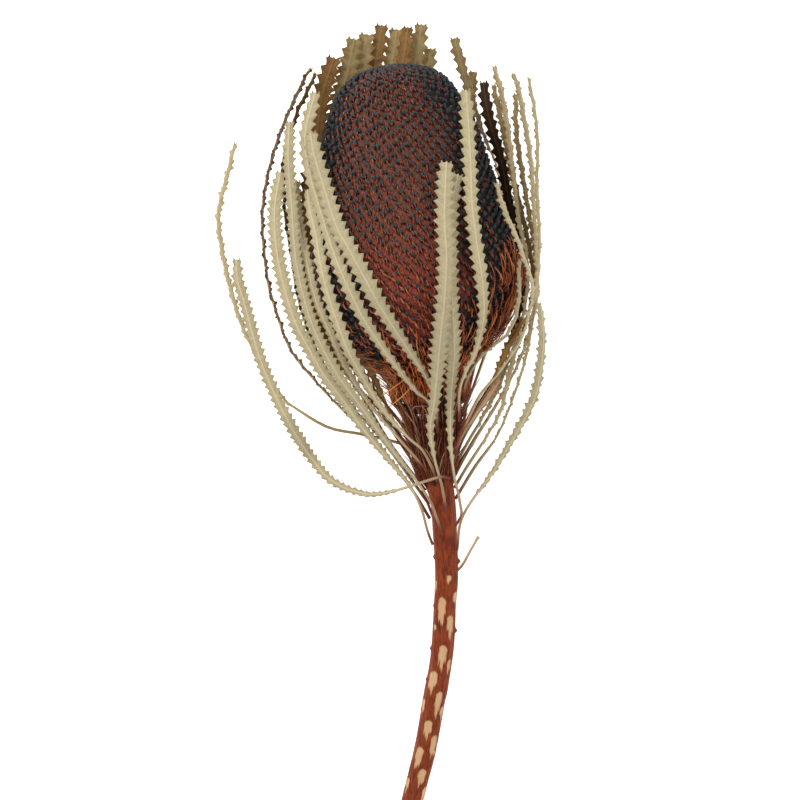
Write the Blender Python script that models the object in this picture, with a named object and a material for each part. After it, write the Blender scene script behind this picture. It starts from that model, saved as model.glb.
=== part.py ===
"""A dried banksia flower head, cut with its stem and its ring of saw-edged leaves, lying on a surface.

Units are metres and +Z is up. +Y runs from the cut end of the stem towards the tip of the head, and +X is
to the right. The origin is on the small flat spot that the head rests on. The sizes and routes below are
written in millimetres and turned to metres by MM where a mesh is made.
"""

from dataclasses import dataclass
from math import pi, radians

import bmesh
import bpy
import numpy as np
from mathutils import Matrix, Vector

MM = 0.001

# The head: a blunt spike of florets round a straight axis, in millimetres
HEAD_BASE = Vector((5.3, -46.8, 31.5))
HEAD_TIP = Vector((-9.7, 78.8, 42.2))
HEAD_PROFILE = (  # distance from the base along the axis, and the radius there
    (0, 10.2), (5, 11), (16, 12.6), (19.5, 16), (23, 20.5), (29.5, 28.8), (37, 33.1), (45.4, 37.1),
    (52, 37), (60, 36.7), (70.6, 34.6), (85, 31.7), (103.7, 27.4), (113, 23.4), (119.5, 19.8),
    (124, 14.5), (126.4, 7), (127.3, 0),
)
FLORETS_ROUND = 54  # grid lines round the head; every other crossing is a floret's tip
FLORET_ROWS = 31
FLORET_RELIEF = 1.1  # from the foot of a floret to its tip

# The stem's middle line with the radius at each point: the woolly neck first, then the bark
NECK_GAP = 0.5  # between the neck and the head's foot
STEM_ROUTE = (
    (5.8, -51.2, 31.1, 9.6), (5.5, -56.5, 30.5, 8.4), (5.7, -61.2, 29.8, 7.2), (6.4, -66.2, 29.1, 6.2),
    (7.4, -70.6, 28.5, 5.2), (8.9, -77.5, 27.4, 4.5), (9.7, -88.9, 25.7, 4.35), (10.3, -104.4, 23.2, 4.15),
    (9.7, -115.2, 21.4, 4.0), (9.1, -127.8, 19.0, 4.1), (8.1, -137.5, 17.1, 4.0), (6.4, -147.2, 15.2, 4.1),
    (5.6, -151.2, 14.4, 3.95), (2.9, -167.0, 11.3, 3.9), (-1.2, -183.2, 8.0, 3.85), (-6.1, -203.4, 3.95, 3.85),
)
BARK_KNOBS = (  # place on the bark, and how far the knob stands out
    ((5.7, -98.0, 26.0), 1.1), ((14.3, -99.5, 25.2), 1.1),
    ((5.3, -115.6, 22.6), 0.9), ((13.2, -124.6, 21.0), 1.0), ((4.3, -131.0, 18.6), 0.9),
    ((2.6, -142.1, 16.6), 0.9), ((5.6, -169.0, 13.8), 0.9), ((0.6, -174.5, 7.4), 1.0),
)
PETIOLE_STUB = ((11.5, -105.0, 23.6), (15.6, -101.5, 25.2), (18.8, -96.0, 26.6), (21.8, -90.7, 27.6))
STUB_RADIUS = 0.5

# Leaves
BLADE_THICK = 1.1  # at the midrib; the toothed edges are sharp
PETIOLE_WIDE = 1.3
TOOTH_PITCH = 5.6
TOOTH_DEPTH = 0.16  # share of the blade's full width
TOOTH_LEAN = 0.82  # how far along its pitch a tooth's point stands, towards the leaf's tip
TIP_SHARE = 0.62  # the blunt tip's width as a share of the blade's
WIDENING = 46.0  # length over which a petiole widens into the blade
PILE_GAP = 0.8  # kept under a leaf where it passes over another piece
PILE_CELL = 0.5
PILE_LOW = (-80.0, -100.0)
PILE_CELLS = (280, 420)
LIFT_REACH = 11.0  # a leaf rises and sinks over this length on each side of what it crosses


@dataclass(frozen=True)
class Leaf:
    """One leaf: its width over the teeth, its bare petiole, the way its outer face looks at the base and at
    the tip (degrees about its own line: 0 up, 90 to the right, 180 down), its tone, and its route."""

    name: str
    width: float
    petiole: float
    face: tuple
    tone: str
    route: tuple


# Leaves that lie under the head or beside it, lowest first. Routes run from the stem out to the tip
LOWER_LEAVES = (
    Leaf("leaf_crown_1", 7.4, 45, (178, 178), "olive", (
        (10.8, -76, 22.2), (12.5, -60, 17), (15, -40, 9.5), (17.5, -20, 3), (18.3, 0, 0.9), (14.5, 20, 0.9),
        (8, 40, 1.6), (4.5, 60, 4), (3.2, 75, 7), (4.7, 86, 10))),
    Leaf("leaf_crown_2", 7.6, 50, (180, 180), "tan", (
        (8.0, -81, 21.3), (3, -60, 14.5), (-5, -40, 9), (-13.5, -18, 3), (-18.5, 2, 0.9), (-16, 22, 0.9),
        (-10, 42, 2), (-5, 60, 5), (-1.5, 78, 9), (1.4, 94.7, 12))),
    Leaf("leaf_crown_4", 8.4, 50, (-165, -178), "tan", (
        (5.6, -84, 21.9), (-3, -62, 14), (-12, -42, 8), (-22.5, -18, 2.6), (-28, 4, 1.2), (-26.5, 24, 1.2),
        (-20.5, 44, 2.8), (-14.5, 62, 5), (-10, 78, 8), (-7.6, 92.9, 10))),
    Leaf("leaf_crown_3", 6.4, 32, (-172, -180), "brown", (
        (5.4, -60, 21.4), (-3, -44, 15), (-12, -30, 9), (-21, -16, 4), (-26.5, 0, 2.4), (-24.5, 20, 2.3),
        (-15.5, 40, 3.7), (-10, 60, 6.7), (-6, 78, 9.7), (-3.6, 93.6, 11.5))),
    Leaf("leaf_crown_5", 7.6, 34, (-155, -175), "brown", (
        (3.2, -64, 22), (-6, -50, 16.5), (-17, -36, 11), (-26.5, -20, 6), (-31.5, -2, 3.5), (-31.5, 18, 3),
        (-26.5, 40, 4), (-20.5, 60, 6.5), (-15.8, 78, 9), (-13, 94.3, 10.5))),
    Leaf("leaf_crown_6", 8.8, 34, (-145, -175), "olive", (
        (1.8, -69, 23.9), (-9, -53, 18), (-19, -36, 11), (-29, -18, 7.2), (-35, 0, 5.8), (-35.5, 20, 5.6),
        (-31, 42, 6.6), (-25.5, 62, 8), (-21, 78, 9.5), (-18.4, 91, 10.5))),
    Leaf("leaf_crown_7", 9.0, 36, (-125, -165), "olive", (
        (2.0, -73, 24.6), (-10, -57, 20.5), (-20, -40, 15.5), (-31, -22, 12.5), (-38, -2, 10.5),
        (-38.5, 20, 10), (-34.5, 42, 10.5), (-29.5, 62, 11.5), (-25.5, 77, 12.5), (-23, 89.3, 13.5))),
    Leaf("leaf_crown_8", 8.6, 34, (-125, -168), "brown", (
        (-3.9, -58, 26.3), (-13, -46, 22.5), (-26, -32, 20), (-35.5, -16, 18.5), (-40, 2, 17.5),
        (-40.5, 20, 17.5), (-39, 38, 18), (-36.4, 55.8, 18.5), (-34.6, 68.4, 19.5), (-30.2, 82.4, 20.5))),
    Leaf("leaf_right_1", 5.8, 54, (165, 150), "olive", (
        (11.6, -72, 22.8), (15.5, -56, 17), (18.5, -38, 10), (22.7, -18, 4), (24, 2, 2.4), (21.8, 22, 2.4),
        (19, 42, 5), (18.5, 60, 10), (20.2, 77.4, 15))),
    Leaf("leaf_right_2", 6.6, 46, (-38, 145), "olive", (
        (10.1, -66, 22.3), (14, -52, 18.5), (21, -34, 13), (27.5, -14, 8.7), (31, 6, 8), (31.5, 24, 10.5),
        (28.6, 42, 16), (24.1, 53.6, 18.5), (19.4, 67.7, 21.5), (15.1, 81.7, 24.5), (13, 89.3, 26))),
    Leaf("leaf_right_3", 6.6, 36, (125, 142), "dark", (
        (12, -58, 24.5), (17, -50, 23), (26, -36, 20.5), (34, -18, 19), (38.2, -1.8, 18.5),
        (37.5, 12, 19), (34.6, 23.4, 20.5), (32.6, 31.9, 21.5), (29.9, 45.7, 23.5), (26.6, 56.9, 25),
        (24.7, 65.2, 26), (23.6, 73.4, 27))),
    Leaf("leaf_right_4", 5.0, 40, (112, 122), "olive", (
        (12.6, -63, 25), (18, -52, 25), (28, -36, 25.5), (37, -18, 25.5), (41.5, -2, 25.5),
        (40.5, 12, 26), (37, 28, 27), (34, 40, 28), (31.2, 53.6, 29), (29.4, 62.3, 29.5), (27, 72, 30))),
    Leaf("leaf_right_5", 5.0, 40, (108, 118), "olive", (
        (12.6, -70, 25.4), (19, -58, 27), (30, -40, 29.5), (38.5, -22, 31), (42.8, -2, 31.5),
        (42, 14, 32), (40.3, 24.1, 32.5), (37.8, 38.9, 33.5), (36.4, 47.9, 34), (35.3, 57.2, 34.5),
        (35.3, 68.8, 35))),
    Leaf("leaf_right_6", 5.6, 16, (80, 60), "tan", (
        (13.8, -60, 27.9), (19, -50, 29), (28.5, -34, 31), (36, -18, 33.5), (39.5, 0, 36),
        (38.8, 12, 37.5), (36.5, 22, 38.5), (35.1, 34.2, 39.5), (33.9, 43.2, 40), (32.8, 52.6, 40.5),
        (31.3, 62.3, 41), (29.7, 70.6, 41.5), (27.2, 78.5, 42))),
    Leaf("leaf_right_7", 5.6, 18, (80, 62), "tan", (
        (13.7, -67, 27.8), (20, -56, 30), (31, -38, 34.5), (38.5, -22, 37.5), (42.8, -4, 39.5),
        (42.6, 12, 41), (41.8, 27.4, 42), (41.3, 36.4, 42.3), (40.8, 43.2, 42.5), (39.5, 52.6, 43),
        (38.2, 59.6, 43.3), (36.7, 67.9, 43.6), (34.5, 76, 44))),
    Leaf("leaf_right_8", 5.0, 20, (78, 70), "tan", (
        (14.1, -76, 27.8), (20.5, -65.5, 31), (28.8, -53.3, 35.5), (36.3, -34.2, 40.5), (40.1, -19.1, 43.5),
        (42.5, 0.7, 46.5), (43.6, 15.5, 48), (42.7, 36.4, 49), (43, 45.7, 49), (42.6, 56.9, 49),
        (41.2, 66.6, 49), (39.5, 74.3, 49))),
    Leaf("leaf_left_1", 5.4, 18, (-95, -110), "brown", (
        (3.3, -78, 26), (-12, -57, 29), (-28, -38, 33), (-38, -20, 35.5), (-43, -5, 36.5),
        (-45.5, 10.4, 37), (-47.6, 23.4, 37), (-48.4, 34.9, 37), (-48.2, 46.4, 37), (-43.6, 61.9, 37),
        (-41, 67.3, 37), (-36.9, 76.3, 37))),
    Leaf("leaf_left_2", 5.8, 22, (-98, -106), "brown", (
        (3.7, -83.2, 26.6), (-2, -74, 27), (-14, -58, 28), (-28.8, -43.2, 29), (-37.8, -33.5, 29),
        (-46, -23, 29), (-51.5, -8.3, 29), (-54.4, 3.2, 29), (-56.2, 22, 29), (-55.4, 32.8, 29.5),
        (-53.6, 42.1, 30), (-50, 54, 31), (-45.7, 64.4, 32), (-41, 74.2, 33), (-38.7, 78.1, 33.5))),
    Leaf("leaf_left_3", 5.0, 45, (-60, -64), "tan", (
        (-3.4, -58, 32), (-10, -56, 33.4), (-20.9, -53.6, 34.5), (-31.7, -51.5, 34.5), (-41.4, -46.1, 34),
        (-50, -38.9, 33), (-60.5, -20.9, 31), (-64.8, -10.8, 30), (-68.4, 1.8, 29), (-71.3, 16.2, 29),
        (-71.8, 27, 30), (-68.4, 41, 32), (-65.9, 51.1, 33.5))),
)

# Leaves that curve over the head and the neck, in the order that they lie over one another
UPPER_LEAVES = (
    Leaf("leaf_low_right_1", 4.4, 16, (60, 60), "tan", (
        (13.4, -65, 31.3), (18.4, -55.8, 34.5), (22, -49.7, 36.5), (25.6, -43.1, 38), (28.8, -37.1, 39),
        (32, -28.4, 40.5))),
    Leaf("leaf_low_right_2", 3.2, 14, (20, 40), "pink", (
        (12.8, -61.6, 33.8), (16.2, -53.6, 37.5), (20, -47.7, 39.5), (24.5, -41.4, 41.5),
        (29.5, -34, 43))),
    Leaf("leaf_low_right_3", 4.8, 18, (62, 60), "tan", (
        (13.7, -72, 29.4), (17.6, -65.5, 32), (21.6, -59.4, 34.5), (25.8, -52.6, 36.5),
        (29.7, -45.4, 38), (31.7, -37.1, 39.5), (33.5, -29.3, 41), (35.5, -22.3, 42),
        (37.8, -16.9, 43))),
    Leaf("leaf_low_right_4", 6.2, 22, (20, 62), "pale", (
        (14.2, -94.5, 28.2), (15.2, -86, 31), (18.4, -79.2, 34), (26.6, -67.7, 38.5), (35.1, -53.3, 42),
        (39.4, -45.5, 43.5), (42.6, -37.1, 44.5), (44.6, -22, 45.5), (44.3, -13, 46), (43.7, -6.5, 46.5))),
    Leaf("leaf_low_right_5", 5.4, 26, (112, 132), "brown", (
        (13.5, -57.6, 34.2), (19.8, -46.8, 39.5), (22, -43.4, 41), (26.3, -36.5, 43.5),
        (29.5, -28.8, 46), (33.1, -20.9, 48), (35.5, -16.9, 49), (37.9, -11.9, 50))),
    Leaf("leaf_low_right_6", 5.0, 16, (70, 70), "pale", (
        (16.0, -41, 38.3), (17.5, -34, 42), (21.6, -27, 46), (25.9, -22.7, 48), (31.3, -18.4, 49.5),
        (34.9, -11.9, 50), (36.4, -2.9, 50), (36.2, 4, 49.5), (36.7, 8.6, 49))),
    Leaf("leaf_right_9", 5.2, 18, (92, 60), "pale", (
        (15.6, -53, 29.2), (22.3, -39.6, 37), (29.5, -30.6, 42), (36.7, -19.8, 47), (39.6, -10.8, 50),
        (41, -4, 52.5), (40.7, 1.8, 53.5), (38.3, 8.6, 54), (36, 15.5, 54), (33, 22.3, 53.5),
        (30.8, 27.4, 53), (28, 36.4, 52.5))),
    Leaf("leaf_front_left_1", 4.8, 20, (-30, -35), "pale", (
        (2.5, -66, 35.4), (-8, -54, 39.5), (-18, -42, 42.5), (-26.3, -28.8, 44.5), (-31.7, -16.6, 45),
        (-36.4, -5.8, 45), (-39.2, 5.8, 45), (-42.1, 19.8, 45), (-43.6, 32.4, 45), (-43.4, 37.4, 45))),
    Leaf("leaf_front_left_2", 6.6, 22, (-25, -15), "pale", (
        (4.9, -92.5, 28.3), (3.4, -88.5, 29), (1.1, -80.3, 31.5), (-3.1, -72, 34.5), (-11.5, -61.6, 38.5),
        (-20.2, -50.8, 43), (-26.8, -41.4, 46.5), (-34, -31.7, 49), (-40, -21.2, 50), (-44.3, -12.6, 50),
        (-49.5, 5.8, 49), (-51.5, 24.5, 48), (-49.3, 40.7, 47))),
    Leaf("leaf_front_left_3", 5.6, 22, (-10, -22), "pale", (
        (8.6, -88.9, 31), (6.5, -83.2, 31.8), (4.7, -78.5, 32.8), (-0.4, -70.6, 35.5), (-6.1, -63.4, 38.5),
        (-13, -54.2, 42), (-19.8, -44.6, 45), (-29.2, -31.7, 48), (-37.8, -14.4, 48.5), (-43.2, 6.1, 47),
        (-45, 25.2, 45), (-46.4, 45, 43), (-46.1, 58.7, 42))),
    Leaf("leaf_front_left_4", 6.2, 20, (-10, -35), "pale", (
        (6.5, -69.5, 35), (4.9, -65.5, 36.2), (1.4, -59.2, 37.5), (-4, -54.4, 40), (-13.9, -43.2, 44.5),
        (-23.8, -25.9, 49.5), (-27.7, -16.6, 50.5), (-31, -6.8, 51), (-34.2, 4.7, 52.5), (-36.4, 17.6, 52),
        (-38.5, 26.6, 51), (-39.6, 34.2, 50))),
    Leaf("leaf_front_left_5", 6.4, 18, (-5, -30), "pale", (
        (5.2, -56, 40), (4.3, -43.2, 44), (-1.1, -37.8, 48), (-10.4, -25.9, 54.5), (-18, -14.6, 60),
        (-22, -7.2, 62), (-28.8, 7.9, 62.3), (-34.6, 25.9, 57.5), (-38.5, 39.6, 54), (-40.3, 53.3, 52),
        (-36.7, 69.1, 51))),
    Leaf("leaf_front_left_6", 7.8, 18, (0, -22), "pale", (
        (7, -52, 41.4), (6.1, -41.4, 45), (2.5, -32.4, 53), (-5.9, -19.8, 63), (-13.3, -8.3, 68),
        (-16.9, -1.8, 69.5), (-24.3, 11.9, 67.5), (-29.2, 21.1, 63.5), (-34.2, 36.7, 58),
        (-37.1, 46.4, 56), (-38.5, 54.4, 55))),
    Leaf("leaf_front_2", 7.4, 24, (35, 22), "pale", (
        (14.0, -85.9, 29.2), (15.7, -82.8, 29.6), (15.3, -79.6, 30.6), (14.4, -74.5, 32.5),
        (13.3, -70.2, 34.5), (12.0, -61.5, 37.5), (11.5, -50.8, 41.5), (11.8, -38, 49), (12.8, -24, 60),
        (11.9, -5.4, 70.5), (11.5, 9, 72.5), (11.5, 19.8, 71.5), (12.2, 30.6, 69), (14.2, 39.5, 66))),
    Leaf("leaf_front_3", 7.2, 16, (40, 28), "pale", (
        (14.8, -48, 38), (14.9, -38, 43.5), (17.4, -30.5, 49.5), (20.2, -25.2, 54), (22.3, -17.6, 59),
        (23.4, -9.4, 63), (22.7, 1.8, 67), (20.5, 16.6, 67), (19.1, 28.8, 65), (18.7, 40.7, 62),
        (18, 55.4, 59), (17, 69.8, 58))),
    Leaf("leaf_front_1", 8.0, 20, (5, 8), "pale", (
        (10.1, -81, 32.2), (8.6, -72.4, 34.5), (5.8, -61.9, 38.5), (4.4, -51.1, 42.5), (5.9, -41.4, 49),
        (7.9, -19.8, 66), (9.4, -5.4, 72.5), (10.1, 9.4, 74.5), (9.4, 23.4, 73), (9.7, 34.9, 70.5),
        (10.1, 43.9, 67.5))),
    Leaf("leaf_left_4", 5.4, 20, (0, -20), "pale", (
        (10.6, -69.3, 34), (7.7, -69.1, 36), (-0.4, -71.6, 36), (-10.1, -74.5, 32.5), (-19.4, -75.2, 28.5),
        (-31, -70.6, 23.5), (-38.9, -61.6, 20.5), (-46.1, -50, 18), (-52, -38.2, 16.5), (-57.2, -25.2, 15.5),
        (-62.6, -5.8, 14.5), (-64.8, 1.8, 14.5), (-65.2, 9.4, 15))),
)

# Finishes: colour, roughness
FINISHES = {
    "bark": ((0.23, 0.055, 0.03), 0.6),
    "floret": ((0.045, 0.022, 0.02), 0.75),
    "pale": ((0.56, 0.49, 0.29), 0.7),
    "tan": ((0.42, 0.33, 0.18), 0.7),
    "pink": ((0.50, 0.30, 0.19), 0.7),
    "olive": ((0.25, 0.17, 0.07), 0.7),
    "brown": ((0.21, 0.10, 0.04), 0.7),
    "dark": ((0.06, 0.045, 0.025), 0.7),
}


def clear_scene():
    """Remove every object that the scene starts with."""
    for obj in list(bpy.data.objects):
        bpy.data.objects.remove(obj, do_unlink=True)


def finish(name):
    """The Principled material of one finish, made once."""
    if name in bpy.data.materials:
        return bpy.data.materials[name]
    colour, roughness = FINISHES[name]
    material = bpy.data.materials.new(name)
    material.use_nodes = True
    shader = material.node_tree.nodes["Principled BSDF"]
    shader.inputs["Base Color"].default_value = (*colour, 1)
    shader.inputs["Roughness"].default_value = roughness
    shader.inputs["Metallic"].default_value = 0
    return material


def add_object(name, bm, finish_name, collection, smooth=False):
    """Turn a bmesh in millimetres into a named object in metres."""
    bmesh.ops.scale(bm, vec=(MM, MM, MM), verts=bm.verts)
    bmesh.ops.recalc_face_normals(bm, faces=bm.faces)
    mesh = bpy.data.meshes.new(name)
    bm.to_mesh(mesh)
    bm.free()
    mesh.materials.append(finish(finish_name))
    obj = bpy.data.objects.new(name, mesh)
    collection.objects.link(obj)
    if smooth:
        mesh.shade_smooth()
    return obj


def head_radius(along):
    """The head's radius at distances along its axis, in millimetres."""
    stations, radii = zip(*HEAD_PROFILE)
    return np.interp(along, stations, radii)


def head_matrix():
    """From the head's own frame, with its axis along +Z, to the world, in millimetres."""
    axis = (HEAD_TIP - HEAD_BASE).normalized()
    turn = axis.to_track_quat("Z", "Y").to_matrix().to_4x4()
    return Matrix.Translation(HEAD_BASE) @ turn


def smooth_route(points, spacing=1.0):
    """Evenly spaced places along a Catmull-Rom curve through the points."""
    known = np.array(points, float)
    ends = 2 * known[0] - known[1], 2 * known[-1] - known[-2]
    padded = np.vstack([ends[0], known, ends[1]])
    fine = []
    for a, b, c, d in zip(padded, padded[1:], padded[2:], padded[3:]):
        for t in np.arange(0, 1, 0.05):
            bend = (2 * a - 5 * b + 4 * c - d) * t**2 + (3 * b - a - 3 * c + d) * t**3
            fine.append(0.5 * (2 * b + (c - a) * t + bend))
    fine = np.array([*fine, known[-1]])
    steps = np.linalg.norm(np.diff(fine[:, :3], axis=0), axis=1)
    run = np.concatenate([[0], np.cumsum(steps)])
    even = np.linspace(0, run[-1], max(2, round(run[-1] / spacing) + 1))
    return np.column_stack([np.interp(even, run, column) for column in fine.T]), even


def unit(vectors):
    """Each row scaled to length one."""
    return vectors / np.linalg.norm(vectors, axis=-1, keepdims=True)


def leaf_frame(route, face):
    """The direction across the blade and the direction its outer face looks, at each place of the route."""
    along = unit(np.gradient(route, axis=0))
    up = np.array([0.0, 0.0, 1.0])
    lift = unit(up - along * (along @ up)[:, None])
    right = np.cross(along, lift)
    angle = np.radians(np.linspace(face[0], face[1], len(route)))[:, None]
    outward = np.cos(angle) * lift + np.sin(angle) * right
    return np.cross(along, outward), outward


def blade_width(leaf, run):
    """The width over the teeth at distances from the base, in millimetres."""
    length = run[-1]
    full = min(leaf.petiole + WIDENING, 0.7 * length)
    stations = (0, leaf.petiole * 0.8, full, length - 6, length)
    widths = (PETIOLE_WIDE, PETIOLE_WIDE, leaf.width, leaf.width, leaf.width * TIP_SHARE)
    return np.interp(run, stations, widths)


class Pile:
    """How high the pieces reach over each spot of the surface, so that each leaf lies over those below."""

    def __init__(self):
        self.top = np.full(PILE_CELLS, -1000.0)

    def cells(self, points):
        """The grid cell of each point."""
        spots = np.floor((points[..., :2] - PILE_LOW) / PILE_CELL).astype(int)
        return np.clip(spots, 1, np.array(PILE_CELLS) - 2)

    def add(self, points, reach):
        """Take in a piece: its points, and how far it stands above them."""
        cells = self.cells(points)
        np.maximum.at(self.top, (cells[..., 0], cells[..., 1]), points[..., 2] + reach)

    def under(self, points):
        """The highest thing under each point and beside it."""
        cells = self.cells(points)
        around = [self.top[cells[..., 0] + i, cells[..., 1] + j] for i in (-1, 0, 1) for j in (-1, 0, 1)]
        return np.max(around, axis=0)


def eased(lift, run):
    """The lift spread over LIFT_REACH to each side, never less than what is asked."""
    step = run[1] - run[0]
    reach = max(1, round(LIFT_REACH / step))
    spread = np.array([lift[max(0, i - reach):i + reach + 1].max() for i in range(len(lift))])
    half = max(1, reach // 2)
    kernel = np.ones(2 * half + 1) / (2 * half + 1)
    for _ in range(2):
        spread = np.convolve(np.pad(spread, half, mode="edge"), kernel, mode="valid")
    return spread


def laid_leaf(leaf, pile):
    """The leaf's route once it lies over the pile, its frame, and the run along it; the pile takes it in."""
    route, run = smooth_route(leaf.route)
    half = blade_width(leaf, run) / 2
    offsets = np.linspace(-1, 1, 17)[None, :, None]

    def spread(line):
        """Points over the whole blade."""
        across, _ = leaf_frame(line, leaf.face)
        return line[:, None, :] + across[:, None, :] * half[:, None, None] * offsets

    blade = spread(route)
    needed = pile.under(blade) + BLADE_THICK / 2 + PILE_GAP - blade[..., 2]
    route[:, 2] += eased(np.maximum(needed.max(axis=1), 0), run)
    pile.add(spread(route), BLADE_THICK / 2)
    return route, run


def pile_up_head_and_stem(pile):
    """Let the pile take in the upper side of the head and the stem."""
    place = np.array(head_matrix())
    length = (HEAD_TIP - HEAD_BASE).length
    along = np.arange(0, length, 0.4)
    turn = np.arange(0, 2 * pi, 0.01)
    radius = head_radius(along)[:, None] + FLORET_RELIEF / 2
    local = np.stack([
        radius * np.cos(turn), radius * np.sin(turn), np.broadcast_to(along[:, None], (len(along), len(turn))),
    ], axis=-1)
    pile.add(local @ place[:3, :3].T + place[:3, 3], 0)
    stem, _ = smooth_route(STEM_ROUTE, 0.4)
    turn = np.linspace(-pi / 2, pi / 2, 90)
    pile.add(np.stack([
        stem[:, 0, None] + stem[:, 3, None] * np.sin(turn),
        np.broadcast_to(stem[:, 1, None], (len(stem), len(turn))),
        stem[:, 2, None] + stem[:, 3, None] * np.cos(turn),
    ], axis=-1), 0)


def make_leaf(leaf, route, run, collection):
    """A blade in one solid: a ridge along each face, and teeth that point to the tip along both edges."""
    across, outward = leaf_frame(route, leaf.face)
    widths = blade_width(leaf, run)
    length = run[-1]

    def place(where, side, rise):
        """A point at a distance along the leaf, across it and above its middle."""
        middle = [np.interp(where, run, column) for column in route.T]
        sideways = [np.interp(where, run, column) for column in across.T]
        above = [np.interp(where, run, column) for column in outward.T]
        point = np.array(middle) + np.array(sideways) * side + np.array(above) * rise
        point[2] = max(point[2], 0)
        return point

    bm = bmesh.new()
    thick = BLADE_THICK / 2

    def ring(where, half):
        """The four corners of the section there: left edge, ridge, right edge, keel."""
        return [bm.verts.new(place(where, side, rise)) for side, rise in (
            (-half, 0), (0, thick), (half, 0), (0, -thick))]

    stalk = np.linspace(0, leaf.petiole, max(3, round(leaf.petiole / 7) + 1))
    rings = [ring(where, PETIOLE_WIDE / 2) for where in stalk]
    for low, high in zip(rings, rings[1:]):
        for k in range(4):
            bm.faces.new((low[k], high[k], high[(k + 1) % 4], low[(k + 1) % 4]))
    teeth = max(3, round((length - leaf.petiole) / TOOTH_PITCH))
    pitch = (length - leaf.petiole) / teeth
    low = rings[-1]
    for tooth in range(teeth):
        start = leaf.petiole + tooth * pitch
        point = start + TOOTH_LEAN * pitch
        half = np.interp(point, run, widths) / 2
        notch = np.interp(start + pitch, run, widths) / 2
        notch = max(PETIOLE_WIDE / 2, notch - TOOTH_DEPTH * 2 * notch)
        high = ring(start + pitch, notch)
        for edge, side in ((0, -1), (2, 1)):
            tip = bm.verts.new(place(point, side * half, 0))
            for ridge in (1, 3):
                bm.faces.new((low[ridge], low[edge], tip))
                bm.faces.new((low[ridge], tip, high[ridge]))
                bm.faces.new((tip, high[edge], high[ridge]))
        low = high
    bm.faces.new(rings[0])
    bm.faces.new(low)
    return add_object(leaf.name, bm, leaf.tone, collection)


def make_head(collection):
    """The spike of florets: a turned form whose grid stands up at every floret's tip, cut flat where it rests."""
    bm = bmesh.new()
    length = HEAD_PROFILE[-1][0]
    rows = np.linspace(0, 1, FLORET_ROWS)
    along = length * (1 - (1 - rows) ** 1.25)
    profile = [bm.verts.new((head_radius(s), 0, s)) for s in along]
    foot = bm.verts.new((0, 0, 0))
    edges = [bm.edges.new(pair) for pair in zip([foot, *profile], profile)]
    bmesh.ops.spin(
        bm, geom=[foot, *profile, *edges], cent=(0, 0, 0), axis=(0, 0, 1), angle=2 * pi,
        steps=FLORETS_ROUND, use_merge=True,
    )
    bmesh.ops.remove_doubles(bm, verts=bm.verts, dist=0.001)
    tips = set()
    for vert in bm.verts:
        radius = vert.co.xy.length
        if radius < 1:
            continue
        row = int(np.argmin(abs(along - vert.co.z)))
        column = round(FLORETS_ROUND * (np.arctan2(vert.co.y, vert.co.x) / (2 * pi) + 1))
        stands = (row + column) % 2 == 0
        if stands:
            tips.add(vert)
        vert.co.xy *= 1 + (0.5 if stands else -0.5) * FLORET_RELIEF / radius
    for face in [f for f in bm.faces if len(f.verts) == 4]:
        feet = [vert for vert in face.verts if vert not in tips]
        if len(feet) == 2:
            bmesh.utils.face_split(face, feet[0], feet[1])
    bmesh.ops.transform(bm, matrix=head_matrix(), verts=bm.verts)
    cut = bmesh.ops.bisect_plane(
        bm, geom=[*bm.verts, *bm.edges, *bm.faces], plane_co=(0, 0, 0), plane_no=(0, 0, 1), clear_inner=True,
    )
    rim = [item for item in cut["geom_cut"] if isinstance(item, bmesh.types.BMEdge)]
    bmesh.ops.contextual_create(bm, geom=rim)
    bmesh.ops.triangulate(bm, faces=[f for f in bm.faces if len(f.verts) > 4])
    return add_object("flower_head", bm, "floret", collection)


def tube(points, radii, sides):
    """A closed round tube along the points, as a bmesh in millimetres."""
    curve = bpy.data.curves.new("guide", "CURVE")
    curve.dimensions = "3D"
    curve.bevel_depth = 1.0
    curve.bevel_resolution = sides // 4 * 2 - 2
    curve.use_fill_caps = True
    spline = curve.splines.new("POLY")
    spline.points.add(len(points) - 1)
    for spot, place, radius in zip(spline.points, points, radii):
        spot.co = (*place, 1)
        spot.radius = radius
    guide = bpy.data.objects.new("guide", curve)
    bpy.context.scene.collection.objects.link(guide)
    bpy.context.view_layer.update()
    evaluated = guide.evaluated_get(bpy.context.evaluated_depsgraph_get())
    bm = bmesh.new()
    bm.from_mesh(evaluated.to_mesh())
    evaluated.to_mesh_clear()
    bpy.data.objects.remove(guide)
    bmesh.ops.remove_doubles(bm, verts=bm.verts, dist=0.001)
    return bm


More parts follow.
